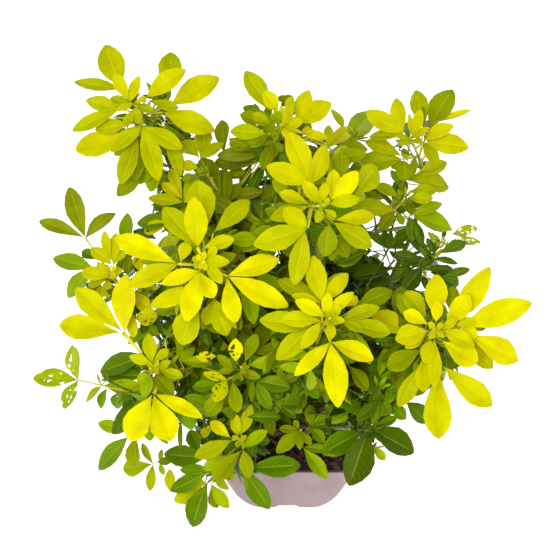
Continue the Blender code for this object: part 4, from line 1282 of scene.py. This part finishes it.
        SeenLeaf(17, (123, 332), ((75, 288, 23),), "gold", 1, "whole", (147, 360)),
        SeenLeaf(17, (155, 394), ((203, 418, 14),), "gold", 0),
    ),
    "left_upper": (
        SeenLeaf(30, (85.5, 238), ((39, 221, 14), (69, 187, 20), (116, 213, 15)), "lime", 0),
        SeenLeaf(14, (111, 265), ((91, 248, 13), (104, 231, 10)), "gold", 1),
        SeenLeaf(16, (113, 265), ((116, 233, 13), (125, 250, 11)), "gold", 1),
        SeenLeaf(8, (109, 278), ((81, 272, 14), (97, 262, 9), (123, 270, 10)), "gold", 1),
        SeenLeaf(10, (108, 280), ((88, 286, 10), (107, 290, 9)), "gold", 2),
        SeenLeaf(2, (111, 272), ((106, 266, 5), (117, 266, 5), (104, 274, 5), (115, 277, 5)), "gold", 0),
        SeenLeaf(35, (93, 268), ((53, 258, 17), (68, 298, 18)), "green", 0),
        SeenLeaf(38, (97, 260), ((82, 251, 11),), "green", 2),
        SeenLeaf(50, (127, 246), ((127, 213, 15),), "green", 0),
        SeenLeaf(46, (172, 222), ((137, 223, 16),), "green", 1),
        SeenLeaf(44, (172, 222), ((144, 232, 14),), "gold", 1),
        SeenLeaf(47, (158, 240), ((133, 231, 10),), "deep", 0),
        SeenLeaf(34, (127, 252), ((130, 276, 12),), "lime", 0),
        SeenLeaf(30, (141, 274), ((137, 255, 12),), "gold", 0),
        SeenLeaf(49, (178, 209), ((153, 206, 14),), "green", 3),
        SeenLeaf(44, (182, 238), ((161, 249, 13),), "gold", 1),
        SeenLeaf(40, (104, 285), ((115, 300, 12), (98, 300, 11)), "gold", 0),
        SeenLeaf(30, (132, 311), ((134, 338, 11),), "gold", 0),
        SeenLeaf(34, (134, 318), ((158, 317, 17),), "gold", 0, "eaten"),
        SeenLeaf(36, (136, 293), ((148, 313, 14),), "gold", 0),
        SeenLeaf(45, (160, 287), ((135, 296, 13),), "gold", 0),
        SeenLeaf(52, (140, 322), ((158, 336, 12),), "green", 0),
        SeenLeaf(44, (112, 293), ((85, 284, 9),), "lime", 2),
        SeenLeaf(45, (113, 294), ((88, 292, 8),), "lime", 0),
    ),
    "low_middle": (
        SeenLeaf(3, (236, 362), ((236, 338, 14),), "gold", 0, "ragged"),
        SeenLeaf(10, (217, 356), ((196, 357, 10),), "gold", 0, "ragged"),
        SeenLeaf(8, (228, 380), ((203, 373, 9),), "gold", 1, "eaten"),
        SeenLeaf(9, (227, 379), ((214, 402, 15),), "gold", 2, "eaten"),
        SeenLeaf(5, (234, 370), ((217, 355, 9), (218, 372, 7)), "lime", 0),
        SeenLeaf(4, (240, 371), ((250, 366, 5), (261, 378, 9), (246, 362, 4)), "lime", 0),
        SeenLeaf(2, (238, 373), ((232, 381, 5), (243, 381, 5), (248, 373, 5)), "lime", 0),
        SeenLeaf(20, (245, 362), ((257, 333, 13),), "lime", 3),
        SeenLeaf(22, (248, 365), ((285, 362, 14),), "lime", 3),
        SeenLeaf(24, (256, 381), ((291, 388, 16), (271, 410, 13)), "green", 3),
        SeenLeaf(23, (253, 379), ((252, 402, 7),), "lime", 1),
        SeenLeaf(18, (233, 381), ((238, 413, 14),), "lime", 0),
        SeenLeaf(26, (226, 394), ((205, 416, 17),), "lime", 0),
        SeenLeaf(28, (224, 384), ((192, 388, 11),), "green", 1),
        SeenLeaf(52, (152, 324), ((128, 344, 11),), "green", 0),
        SeenLeaf(30, (179, 361), ((213, 364, 11), (195, 347, 9), (181, 345, 8)), "lime", 3),
        SeenLeaf(36, (246, 417), ((281, 417, 12),), "green", 2),
        SeenLeaf(40, (280, 405), ((296, 418, 9), (300, 404, 11)), "deep", 0),
        SeenLeaf(42, (184, 396), ((192, 430, 17), (210, 405, 12)), "green", 1),
        SeenLeaf(50, (236, 324), ((260, 320, 14),), "lime", 3),
    ),
    "front_low": (
        SeenLeaf(4, (238, 437), ((232, 419, 8), (237, 414, 8)), "gold", 2),
        SeenLeaf(8, (241, 434), ((252, 404, 12),), "gold", 2),
        SeenLeaf(12, (231, 438), ((210, 421, 12),), "gold", 0),
        SeenLeaf(13, (232, 440), ((194, 457, 16),), "gold", 3),
        SeenLeaf(14, (242, 448), ((268, 430, 12),), "lime", 3),
        SeenLeaf(18, (243, 449), ((213, 482, 17), (249, 479, 14)), "lime", 0),
        SeenLeaf(2, (240, 440), ((232, 436, 5), (247, 436, 5), (236, 447, 5), (244, 446, 5)), "gold", 2),
        SeenLeaf(22, (228, 455), ((204, 470, 12), (222, 470, 9)), "lime", 3),
        SeenLeaf(30, (242, 467), ((270, 509, 20),), "green", 3),
        SeenLeaf(34, (245, 468), ((301, 465, 21),), "green", 2),
        SeenLeaf(36, (254, 440), ((270, 441, 10), (252, 457, 10)), "green", 2),
        SeenLeaf(38, (214, 425), ((200, 437, 9),), "gold", 1),
    ),
    "low_left": (
        SeenLeaf(14, (208, 482), ((192.5, 527, 22),), "green", 3),
        SeenLeaf(16, (211, 484), ((229, 508, 13),), "lime", 2),
        SeenLeaf(17, (211, 486), ((217, 508, 12),), "lime", 0),
        SeenLeaf(24, (207, 483), ((176, 487, 15),), "gold", 0),
        SeenLeaf(20, (210, 469), ((180, 470, 12),), "green", 1),
        SeenLeaf(12, (207, 472), ((170, 491, 16),), "green", 2),
        SeenLeaf(22, (203, 488), ((186, 507, 14),), "lime", 2),
        SeenLeaf(26, (203, 486), ((174, 501, 16),), "gold", 2),
        SeenLeaf(28, (171, 492), ((170, 469, 11),), "gold", 2),
        SeenLeaf(3, (212, 474), ((222, 470, 8), (206, 462, 7), (229, 489, 9)), "lime", 3),
        SeenLeaf(9, (222, 474), ((235, 478, 8),), "gold", 1),
        SeenLeaf(34, (207, 457), ((164, 454, 21),), "green", 3),
        SeenLeaf(37, (157, 462), ((172, 461, 8),), "lime", 1),
        SeenLeaf(36, (200, 456), ((190, 430, 15),), "green", 1),
        SeenLeaf(46, (153, 464), ((142, 443, 8), (150, 491, 10)), "gold", 3, "whole", (168, 459)),
        SeenLeaf(46, (153, 464), ((123, 470, 17),), "lime", 2, "club", (168, 459)),
        SeenLeaf(47, (160, 462), ((162, 449, 5), (164, 475, 6)), "lime", 3),
    ),
    "soil_shoot": (
        SeenLeaf(8, (299, 430), ((279, 429, 8), (276, 453, 14), (300, 450, 8)), "lime", 2),
        SeenLeaf(3, (299, 430), ((294, 420, 6), (311, 445, 8)), "lime", 2),
        SeenLeaf(16, (310, 426), ((310, 404, 11), (334, 412, 11)), "lime", 3),
        SeenLeaf(15, (310, 427), ((330, 424, 6), (325, 443, 11)), "green", 1),
        SeenLeaf(20, (303, 447), ((330, 450, 9), (327, 479, 14)), "green", 0),
    ),
    "low_right": (
        SeenLeaf(14, (370, 428), ((414, 453, 24),), "deep", 0),
        SeenLeaf(13, (372, 428), ((397, 417, 9),), "green", 1),
        SeenLeaf(20, (363, 430), ((322, 454, 22),), "green", 2),
        SeenLeaf(24, (358, 398), ((331, 424, 14), (335, 412, 8)), "green", 1),
        SeenLeaf(22, (372, 444), ((385, 460, 9),), "lime", 2),
        SeenLeaf(16, (360, 402), ((352, 420, 8), (345, 412, 10)), "green", 3),
        SeenLeaf(15, (368, 429), ((349, 486, 31),), "deep", 2),
    ),
    "right_low": (
        SeenLeaf(12, (395, 379), ((369, 376, 12), (387, 404, 12), (366, 368, 14)), "green", 3),
        SeenLeaf(10, (394, 381), ((404, 386, 8),), "gold", 1),
        SeenLeaf(18, (381, 399), ((368, 405, 9), (356, 421, 12), (371, 424, 9)), "deep", 1),
        SeenLeaf(17, (382, 400), ((391, 413, 9), (375, 392, 7)), "green", 2),
        SeenLeaf(24, (349, 366), ((368, 391, 14),), "lime", 2),
        SeenLeaf(26, (378, 347), ((400, 348, 9),), "green", 1),
        SeenLeaf(28, (392, 406), ((406, 419, 13),), "green", 1),
        SeenLeaf(34, (406, 402), ((427, 423, 17),), "green", 3),
    ),
    "right_dark": (
        SeenLeaf(14, (424, 261), ((393, 254, 10), (398, 264, 8)), "deep", 0),
        SeenLeaf(16, (412, 262), ((394, 279, 10),), "deep", 0),
        SeenLeaf(18, (429, 260), ((408, 236, 12),), "deep", 0),
        SeenLeaf(15, (424, 269), ((453, 270, 8),), "deep", 2),
        SeenLeaf(10, (433, 259), ((458, 264, 7),), "deep", 0),
        SeenLeaf(11, (437, 254), ((466, 242, 12),), "green", 2),
        SeenLeaf(20, (441, 277), ((470, 269, 9), (459, 280, 12)), "green", 3),
        SeenLeaf(24, (426, 291), ((423, 276, 7),), "deep", 3),
        SeenLeaf(22, (434, 254), ((427, 238, 9), (438, 236, 7)), "green", 2),
        SeenLeaf(16, (452, 234), ((478, 228, 9), (468, 234, 7)), "gold", 2, "ragged"),
        SeenLeaf(15, (452, 242), ((445, 248, 6),), "gold", 3, "ragged"),
        SeenLeaf(14, (441, 249), ((428, 232, 8), (444, 236, 5)), "gold", 3, "ragged"),
        SeenLeaf(12, (447, 247), ((431, 259, 4),), "gold", 3),
        SeenLeaf(40, (446, 228), ((442, 238, 5), (452, 230, 4)), "green", 3),
        SeenLeaf(40, (396, 268), ((352, 277, 16),), "deep", 2),
        SeenLeaf(17, (430, 259), ((418, 246, 9),), "green", 1),
        SeenLeaf(26, (430, 272), ((459, 284, 20),), "deep", 1),
        SeenLeaf(16, (449, 241), ((481, 242, 8),), "gold", 3, "ragged"),
        SeenLeaf(16, (422, 267), ((400, 293, 17),), "deep", 3),
        SeenLeaf(18, (435, 258), ((419, 268, 9),), "deep", 1),
    ),
    "inner_right": (
        SeenLeaf(10, (387, 249), ((384, 230, 8), (391, 230, 7)), "deep", 0, "whole", (381, 262)),
        SeenLeaf(12, (387, 249), ((367, 231, 8), (411, 229, 12)), "green", 3, "whole", (381, 263)),
        SeenLeaf(13, (388, 249), ((408, 245, 6), (399, 240, 7)), "deep", 0, "whole", (381, 262)),
        SeenLeaf(40, (372, 256), ((380, 256, 4),), "gold", 1),
        SeenLeaf(44, (338, 268), ((362, 254, 12), (365, 272, 12)), "deep", 0),
        SeenLeaf(50, (365, 285), ((384, 262, 10), (350, 270, 11), (392, 282, 10)), "green", 2),
        SeenLeaf(52, (380, 290), ((388, 272, 9), (398, 296, 10)), "green", 3),
    ),
    "left_back": (
        SeenLeaf(14, (200, 158), ((180, 142, 17), (205, 129, 18), (224, 143, 12)), "gold", 3),
        SeenLeaf(12, (198, 168), ((180, 164, 12),), "gold", 1),
        SeenLeaf(10, (195, 175), ((182, 181, 8),), "lime", 0),
        SeenLeaf(20, (184, 202), ((148, 198, 12),), "gold", 3),
        SeenLeaf(21, (183, 200), ((162, 183, 11), (170, 168, 11)), "gold", 1),
        SeenLeaf(24, (223, 205), ((201, 158, 23),), "lime", 1, "club"),
        SeenLeaf(26, (225, 206), ((225, 169, 18), (240, 183, 12)), "lime", 1),
        SeenLeaf(28, (230, 197), ((264, 192, 13),), "lime", 1),
        SeenLeaf(36, (224, 155), ((221.5, 120, 15),), "lime", 0),
        SeenLeaf(26, (262, 156), ((217, 155, 17),), "lime", 0),
        SeenLeaf(38, (220, 178), ((246, 172, 12),), "lime", 0),
        SeenLeaf(44, (248, 196), ((263, 166, 13),), "green", 3),
        SeenLeaf(34, (278, 181), ((267, 208, 20),), "lime", 1),
        SeenLeaf(34, (262, 161), ((214, 163, 20),), "lime", 1),
        SeenLeaf(43, (252, 163), ((241, 190, 10),), "deep", 0),
        SeenLeaf(21, (184, 201), ((201, 171, 13),), "gold", 3),
        SeenLeaf(30, (243, 214), ((272, 229, 15),), "lime", 0),
        SeenLeaf(24, (262, 150), ((229, 143, 15),), "lime", 0),
    ),
    "top_back": (
        SeenLeaf(14, (328, 148), ((352, 127, 15), (329, 125, 11)), "gold", 1),
        SeenLeaf(12, (333, 150), ((300, 138, 13),), "gold", 0),
        SeenLeaf(22, (343, 129), ((331, 109, 9),), "gold", 2),
        SeenLeaf(24, (345, 146), ((373, 112, 23),), "lime", 3),
        SeenLeaf(8, (328, 152), ((368, 149, 17),), "lime", 0),
        SeenLeaf(12, (348, 170), ((332, 160, 11),), "lime", 1),
    ),
    "left_low": (
        SeenLeaf(24, (147, 355), ((100, 372, 20),), "green", 3),
        SeenLeaf(26, (148, 376), ((101, 374, 15),), "green", 3),
        SeenLeaf(22, (105, 385), ((148, 390, 15),), "lime", 2),
        SeenLeaf(20, (149, 396), ((112, 434, 20),), "deep", 1),
        SeenLeaf(40, (124, 431), ((98, 423, 13),), "lime", 3),
        SeenLeaf(44, (150, 418), ((150, 441, 13), (168, 444, 9)), "green", 0),
        SeenLeaf(42, (136.5, 434), ((133.5, 467, 16),), "lime", 0, "club"),
        SeenLeaf(41, (128, 437), ((98.5, 470, 17),), "green", 1),
        SeenLeaf(34, (181, 418), ((181, 451, 5),), "green", 3),
        SeenLeaf(30, (152, 366), ((112, 368, 20),), "green", 3),
        SeenLeaf(40, (152, 396), ((116, 402, 15),), "green", 2),
        SeenLeaf(50, (146, 358), ((143, 325, 13),), "green", 2),
    ),
    "far_left": (
        SeenLeaf(10, (78, 380), ((72, 345, 16), (33, 378, 17)), "lime", 2, "eaten"),
        SeenLeaf(9, (78, 380), ((64, 409, 14),), "lime", 3, "ragged"),
        SeenLeaf(30, (102, 386), ((86, 402, 8), (97, 373, 3)), "gold", 2),
        SeenLeaf(32, (107, 388), ((101, 409, 10),), "green", 1),
        SeenLeaf(34, (121, 391), ((117, 409, 14),), "green", 1, "eaten"),
    ),
}

print("leaves in view", sum(len(rows) for rows in SEEN_LEAVES.values()))

# %% [markdown]
# Inner leaves stand up along the shoot and outer ones hang a little, so a leaflet's tip lies above or
# below its root by a share of its length. Its face looks between the shoot's own direction and the
# light. Each leaflet is noted in a coarse map of the picture, which is asked later where there is room.

# %% Laying the leaves in view
YOUNG_RISE = 0.9
RISE_FADE_MM = 9.0
OLD_HANG = 0.12
NODE_BELOW = 0.004
NODE_SLOPE = 0.35
LIGHT = pointing(0.0, 40.0)
LIGHT_SHARE = 0.5
ROLL_SPREAD = 13.0
FOLD_ALLOWANCE = 1.06
LEAST_TURN = 0.62
PETIOLE_GIRTH = 0.021
THICK_FROM = 0.055  # the reach of a leaf above which its petiole is as thick as it gets for its size
CELL_PX = 5

nearest = {}


def depth_of(place):
    return (Vector(place) - camera.location).dot(VIEW)


def cell_of(place):
    x, y = in_picture(place)
    return round(x / CELL_PX), round(y / CELL_PX)


def note_leaflet(root, tip, width):
    """Marks the cells that a leaflet covers with its depth."""
    reach = round(0.5 * width * FOCAL_PX / depth_of(root) / CELL_PX)
    for i in range(1, 9):
        place = root.lerp(tip, i / 8)
        column, row = cell_of(place)
        for step_x in range(-reach, reach + 1):
            for step_y in range(-reach, reach + 1):
                cell = (column + step_x, row + step_y)
                nearest[cell] = min(nearest.get(cell, 10.0), depth_of(place))


def seen_leaf(shoot, leaf, seed):
    """A leaf that the photograph shows, laid on its own sight lines."""
    draw = random.Random(seed)
    drop = leaf.drop_mm / 1000
    level, axis = twig_place(shoot, drop)
    axis = pointing(shoot.bearing, shoot.lean) if drop <= TWIG_LENGTH else axis
    facing = (axis - VIEW).normalized()
    hub = on_sight_line(leaf.hub_px, level, facing)
    node, _ = twig_place(shoot, drop + NODE_BELOW + NODE_SLOPE * (hub - level).length)
    reach = max(math.dist(leaf.hub_px, tip[:2]) for tip in leaf.tips_px) * depth_of(hub) / FOCAL_PX
    petiole = PETIOLE_GIRTH * max(reach, 0.02) * min(reach / THICK_FROM, 1.0)
    if leaf.bend_px:
        bend = on_sight_line(leaf.bend_px, hub, facing)
        lay_rod(bend, hub, petiole, leaf.tone)
        lay_rod(node, bend, petiole, leaf.tone)
    else:
        lay_rod(node, hub, petiole, leaf.tone)
    rise = YOUNG_RISE * math.exp(-leaf.drop_mm / RISE_FADE_MM) - OLD_HANG
    for tip_x, tip_y, width_px in leaf.tips_px:
        level_tip = on_sight_line((tip_x, tip_y), hub, facing)
        tip = on_sight_line((tip_x, tip_y), hub + axis * rise * (level_tip - hub).length, facing)
        along = (tip - hub).normalized()
        length = (tip - hub).length
        width = width_px * depth_of(hub) / FOCAL_PX
        ref = (axis + LIGHT * LIGHT_SHARE).normalized()
        face = (ref - along * ref.dot(along)).normalized()
        face = turned(along, 0.0, ROLL_SPREAD, draw) @ face
        across = face.cross(along)
        level_across = (along - VIEW * along.dot(VIEW)).cross(VIEW).normalized()
        turned_away = max(abs(across.dot(level_across)), LEAST_TURN)
        girth = width * FOLD_ALLOWANCE / turned_away / LEAFLET_WIDTH
        lay_leaflet(hub, along, face, length, girth, leaf.tone, leaf.shade, draw, leaf.kind)
        note_leaflet(hub, tip, width)


for number, shoot in enumerate(SHOOTS):
    for n, leaf in enumerate(SEEN_LEAVES.get(shoot.name, ())):
        seen_leaf(shoot, leaf, SEED + 100 * number + n)
print("leaflets in view", leaf_counts, "cells", len(nearest))

# %% [markdown]
# ## The rest of the crown
# All other leaves grow by the rule that grew the solids: three leaflets 56 degrees apart, in opposite
# pairs, each pair at right angles to the next. They fill the sides, the back and the depth of the
# crown. A leaflet is kept only where it lies behind the leaves in view, so it can't close a gap.

# %% Room in the picture
CROWN_EDGE_PX = (  # the edge of the crown between its outer leaves, clockwise from the top left
    (118, 90), (135, 80), (165, 82), (190, 100), (205, 122), (222, 128), (232, 140), (245, 112), (262, 88),
    (290, 100), (312, 112), (330, 130), (346, 134), (368, 118), (392, 118), (420, 104), (444, 116), (450, 138),
    (432, 156), (440, 166), (445, 184), (428, 196), (440, 206), (446, 228), (432, 236), (452, 250), (460, 266),
    (456, 284), (470, 300), (490, 305), (496, 330), (482, 350), (472, 372), (470, 392), (448, 402), (440, 420),
    (416, 398), (402, 410), (404, 444), (384, 450), (362, 466), (338, 474), (330, 446), (308, 436), (282, 438),
    (272, 452), (262, 470), (246, 484), (222, 500), (204, 500), (184, 496), (170, 480), (168, 458), (186, 446),
    (182, 430), (160, 424), (140, 430), (120, 426), (112, 404), (104, 384), (112, 366), (126, 354), (136, 340),
    (116, 318), (92, 306), (80, 290), (84, 262), (96, 242), (122, 234), (126, 220), (146, 214), (152, 200),
    (146, 186), (122, 170), (112, 150), (96, 136), (102, 118),
)
CLEAR_SPOTS_PX = (  # x, y and radius of the gaps that show the sky or the soil
    (383, 177, 6), (388, 199, 3), (404, 196, 3), (368, 227, 4), (378, 224, 5), (398, 222, 3), (373, 240, 3),
    (387, 263, 6), (396, 258, 3), (414, 265, 3), (391, 280, 3), (377, 350, 4), (420, 401, 5), (241, 182, 6),
    (250, 174, 4), (308, 145, 4), (372, 153, 4), (228, 140, 4), (193, 146, 3), (176, 164, 3), (188, 160, 3),
    (155, 338, 4), (169, 471, 6), (190, 440, 9), (90, 281, 3), (104, 288, 3), (110, 333, 6),
    (330, 460, 13), (308, 462, 9), (282, 440, 8), (294, 436, 6), (384, 178, 7), (366, 226, 5),
    (375, 223, 5), (391, 226, 4), (401, 227, 4), (416, 232, 6), (424, 235, 8), (381, 247, 4), (402, 248, 4),
    (410, 250, 4), (390, 262, 8), (387, 257, 4), (392, 274, 4), (413, 266, 4), (418, 282, 6), (434, 277, 4),
    (150, 116, 4), (186, 107, 5), (118, 115, 3), (122, 105, 3), (190, 158, 4), (194, 146, 3), (169, 163, 4),
    (187, 173, 4), (213, 140, 4), (234, 184, 4), (246, 172, 4), (262, 172, 3), (307, 143, 3), (275, 255, 4),
    (416, 204, 3), (205, 184, 4), (235, 184, 5), (157, 239, 5), (156, 338, 5), (142, 178, 5), (344, 141, 4),
    (353, 143, 5), (180, 437, 5), (187, 434, 6), (177, 440, 4), (233, 250, 2), (273, 255, 3), (284, 259, 2),
    (416, 155, 7), (408, 149, 4), (208, 170, 5), (450, 394, 4), (196, 461, 5), (378, 416, 3),
    (393, 422, 6), (412, 186, 3), (407, 195, 3), (411, 216, 3),
)
BEHIND = 0.010
BEHIND_IN_GAP = 0.016
GAP_REACH = 3


def inside_edge(x, y):
    """Whether a pixel lies inside the crown's edge: a line from it crosses the edge an odd number of times."""
    inside = False
    for (x0, y0), (x1, y1) in zip(CROWN_EDGE_PX, CROWN_EDGE_PX[1:] + CROWN_EDGE_PX[:1]):
        if (y0 > y) != (y1 > y) and x < x0 + (x1 - x0) * (y - y0) / (y1 - y0):
            inside = not inside
    return inside


def has_room(place):
    """Whether a place lies behind the leaves in view, inside the crown's edge and off the gaps."""
    x, y = in_picture(place)
    if any(math.hypot(x - spot_x, y - spot_y) < radius for spot_x, spot_y, radius in CLEAR_SPOTS_PX):
        return False
    if not inside_edge(x, y):
        return False
    column, row = cell_of(place)
    if (column, row) in nearest:
        return depth_of(place) > nearest[(column, row)] + BEHIND
    steps = range(-GAP_REACH, GAP_REACH + 1)
    around = [nearest.get((column + a, row + b)) for a in steps for b in steps]
    near = [depth for depth in around if depth]
    return not near or depth_of(place) > min(near) + BEHIND_IN_GAP


def inside_crown(place, margin):
    low, high = cad_box
    return all(low[i] + margin < place[i] < high[i] - margin for i in range(3))


# %% [markdown]
# A leaf of the rule has its petiole on the twig, its middle leaflet along the same line and one to
# each side, and all three droop a little.

# %% One leaf of the rule
LEAFLET_SPREAD = 56.0
SIDE_LEAFLET_SIZE = 0.92
LEAFLET_DROOP = 13.0
SIDE_ROLL = 6.0
SPREAD_JITTER = 5.0
DROOP_JITTER = 6.0
ROLL_JITTER = 12.0
SIZE_JITTER = 0.10
LEAST_LEAFLETS = 2


def grow_leaf(node, along, up, petiole, length, tone, seed, anywhere=False):
    """Lays a leaf if there is room for its hub and for most of its leaflets."""
    jitter = random.Random(seed)
    hub = node + along * petiole
    shade = jitter.choices(range(SHADES), SHADE_CHANCES)[0]
    kept = []
    for side in (0, -1, 1):
        blade = turned(up, side * LEAFLET_SPREAD, SPREAD_JITTER, jitter) @ along
        across = up.cross(blade).normalized()
        droop = turned(across, LEAFLET_DROOP, DROOP_JITTER, jitter)
        roll = turned(blade, side * SIDE_ROLL, ROLL_JITTER, jitter)
        size = length * (SIDE_LEAFLET_SIZE if side else 1.0) * jitter.uniform(1 - SIZE_JITTER, 1 + SIZE_JITTER)
        blade = droop @ blade
        face = roll @ (droop @ up)
        margin = across * 0.5 * LEAFLET_WIDTH * size
        ends = [hub + blade * size * share for share in (0.2, 0.4, 0.6, 0.8, 1.0)]
        ends += [hub + blade * size * share + margin * s for share in (0.4, 0.7) for s in (-1, 1)]
        if anywhere or all(has_room(end) and inside_crown(end, 0.0) for end in ends):
            kept.append((blade, face, size))
    if len(kept) < LEAST_LEAFLETS or not (anywhere or has_room(hub)):
        return
    lay_rod(node, hub, PETIOLE_RADIUS * min(1.0, 0.4 + length * 14), tone)
    for blade, face, size in kept:
        lay_leaflet(hub, blade, face, size, size * jitter.uniform(0.85, 1.1), tone, shade, jitter)


# %% [markdown]
# A rosette has the pairs that its solid has, tiny ones still unfolding in its middle, and older ones
# further down, whose leaves hang lower and are greener, partly with age and partly as painted shade
# inside the crown. They hide the bough, as they do on the plant.

# %% Rosettes
Pair = namedtuple("Pair", "below_tip lean petiole size")
PAIRS = (
    Pair(0.032, 94.0, 0.027, 1.00),
    Pair(0.018, 80.0, 0.020, 1.00),
    Pair(0.010, 60.0, 0.013, 0.60),
    Pair(0.005, 40.0, 0.007, 0.42),
)
YOUNG_PAIRS = (
    Pair(0.003, 30.0, 0.0040, 0.26),
    Pair(0.001, 16.0, 0.0025, 0.17),
)
OLD_PAIRS = (
    Pair(0.050, 102.0, 0.028, 0.92),
    Pair(0.070, 104.0, 0.026, 0.84),
    Pair(0.092, 104.0, 0.024, 0.78),
    Pair(0.116, 104.0, 0.022, 0.72),
    Pair(0.142, 104.0, 0.020, 0.68),
)
HEART_MM = 4
# Each older pair takes the next darker tone, for age and as painted shade lower in the crown.
OLDER_AND_SHADED_TONE = {"gold": "lime", "lime": "green", "green": "deep", "deep": "deep"}


def pair_leaf(shoot, pair, k, half, tone, seed, stray=0.0, anywhere=False):
    """One leaf of a pair."""
    node, axis = twig_place(shoot, pair.below_tip)
    side = axis.cross(Vector((0, 0, 1))).normalized()
    front = axis.cross(side)
    draw = random.Random(seed + 3)
    angle = math.radians(shoot.turn + 90 * k + 180 * half + draw.uniform(-stray, stray))
    outward = side * math.cos(angle) + front * math.sin(angle)
    lean = math.radians(pair.lean + draw.uniform(-stray, stray))
    along = axis * math.cos(lean) + outward * math.sin(lean)
    up = axis * math.sin(lean) - outward * math.cos(lean)
    grow_leaf(node, along, up, pair.petiole * shoot.reach, shoot.leaf * pair.size, tone, seed, anywhere)


for number, shoot in enumerate(SHOOTS):
    first = SEED + 1000 * number
    heart_seen = any(leaf.drop_mm <= HEART_MM for leaf in SEEN_LEAVES.get(shoot.name, ()))
    lay_rod(twig_place(shoot, TWIG_LENGTH)[0], Vector(shoot.hub), TWIG_RADIUS, shoot.tone)
    for half in (0, 1):
        for k, pair in enumerate(PAIRS):
            pair_leaf(shoot, pair, k, half, shoot.tone, first + 2 * k + half, 8.0)
        for k, pair in enumerate(YOUNG_PAIRS):
            pair_leaf(shoot, pair, k, half, shoot.tone, first + 100 + 2 * k + half, 10.0, not heart_seen)
        tone = shoot.tone
        for k, pair in enumerate(OLD_PAIRS):
            if pair.below_tip > 0.7 * (length_of(limbs[shoot.name]) + TWIG_LENGTH):
                break
            tone = OLDER_AND_SHADED_TONE[tone] if k != 1 else tone
            pair_leaf(shoot, pair, -1 - k, half, tone, first + 200 + 2 * k + half, 12.0)
print("leaflets", leaf_counts)

# %% [markdown]
# ## Side twigs
# Between the rosettes the crown is full of shorter shoots with smaller, darker leaves, partly older and
# partly painted shade deep in the crown. They leave the boughs at leaf scars, in turn to each side,
# and lean towards the light.

# %% Side twigs
SIDE_TWIG_RADIUS = 0.0011
SIDE_SPACING = 0.010
SIDE_START = 0.18
SIDE_TWIG_LENGTH = (0.022, 0.055)
SIDE_LEAF = (0.032, 0.046)
SIDE_CLEARANCE = 0.022
HUB_CLEARANCE = 0.034
EDGE_CLEARANCE = 0.040
LOWEST_TIP = 0.10
GOLDEN_ANGLE = 137.5

side_tips = []
for number, shoot in enumerate(SHOOTS):
    limb = limbs[shoot.name]
    draw = random.Random(SEED + 5000 + number)
    count = int(length_of(limb) * (1 - SIDE_START) / SIDE_SPACING)
    for n in range(count):
        share = SIDE_START + (1 - SIDE_START) * (n + draw.uniform(0.2, 0.8)) / count
        node, _ = at(limb, share)
        heading = (node - at(limb, max(share - 0.05, 0))[0]).normalized()
        angle = math.radians(GOLDEN_ANGLE * n + 40 * number)
        side = heading.cross(Vector((0.1, 0.2, 1))).normalized()
        outward = side * math.cos(angle) + heading.cross(side) * math.sin(angle)
        aim = (heading * 0.55 + outward + Vector((0, -0.12, 0.35))).normalized()
        tip = node + aim * draw.uniform(*SIDE_TWIG_LENGTH)
        if any((tip - Vector(other.hub)).length < HUB_CLEARANCE for other in SHOOTS):
            continue
        if any((tip - other).length < SIDE_CLEARANCE for other in side_tips):
            continue
        if not inside_crown(tip, EDGE_CLEARANCE) or tip.z < LOWEST_TIP or not has_room(tip):
            continue
        side_tips.append(tip)
        bearing = math.degrees(math.atan2(aim.x, -aim.y))
        lean = math.degrees(math.acos(aim.z))
        leaf = draw.uniform(*SIDE_LEAF)
        # A tone or two darker than the bough's, and darker still low down: age and painted shade inside the
        # crown.
        tone = OLDER_AND_SHADED_TONE[shoot.tone]
        if draw.random() < 0.36 or tip.z < 0.2:
            tone = OLDER_AND_SHADED_TONE[tone]
        twig = Shoot("side", "", 0, tuple(tip), bearing, lean, draw.uniform(0, 90), leaf, 0.75, 6, tone)
        lay_rod(node, tip, SIDE_TWIG_RADIUS, tone)
        seed = SEED + 9000 + 100 * len(side_tips)
        for i in range(8):
            k, half = divmod(i, 2)
            pair = (PAIRS + YOUNG_PAIRS)[k + (1 if k > 1 else 0)]
            pair = pair._replace(below_tip=min(pair.below_tip * 0.7, 0.8 * (tip - node).length))
            pair_leaf(twig, pair, k, half, tone, seed + i, stray=10)
print("side twigs", len(side_tips), "leaflets", leaf_counts)

# %% [markdown]
# ## The leaf pieces
# The leaves of each tone are two pieces, left and right, and each stands for the solids of the shoots
# of that tone and side. The stalks are one more, yellow-green like the youngest bark, and darker
# where their leaves are.

# %% The leaf pieces
STALK_COLOURS = {
    "leaf_stalk": (rgb(0.34, 0.37, 0.01), rgb(0.60, 0.57, 0.05)),
    "dark_leaf_stalk": (rgb(0.07, 0.115, 0.008), rgb(0.17, 0.23, 0.02)),
}
stalk_finishes = []
for name, colours in STALK_COLOURS.items():
    finish, tree, shader = new_finish(name, 0.5)
    shader.inputs["Specular IOR Level"].default_value = 0.15
    shader.inputs["Specular Tint"].default_value = rgb(*SHEEN_TINT)
    wire(tree, blend(tree, ramp(tree, grain(tree, 90, 2), 0.3, 0.7), *colours), shader.inputs["Base Color"])
    relief(tree, shader, grain(tree, 600, 2), 0.0002)
    stalk_finishes.append(finish)
for (tone, side), bm in leaf_bms.items():
    grown = [shoot for shoot in SHOOTS if shoot.tone == tone and side_of(shoot.hub) == side]
    nodes = ["foliage_" + shoot.name for shoot in grown]
    add_piece(f"leaves_{tone}_{side}", bm, leaf_finishes[tone], nodes)
add_piece("leaf_stalks", stalks_bm, stalk_finishes)
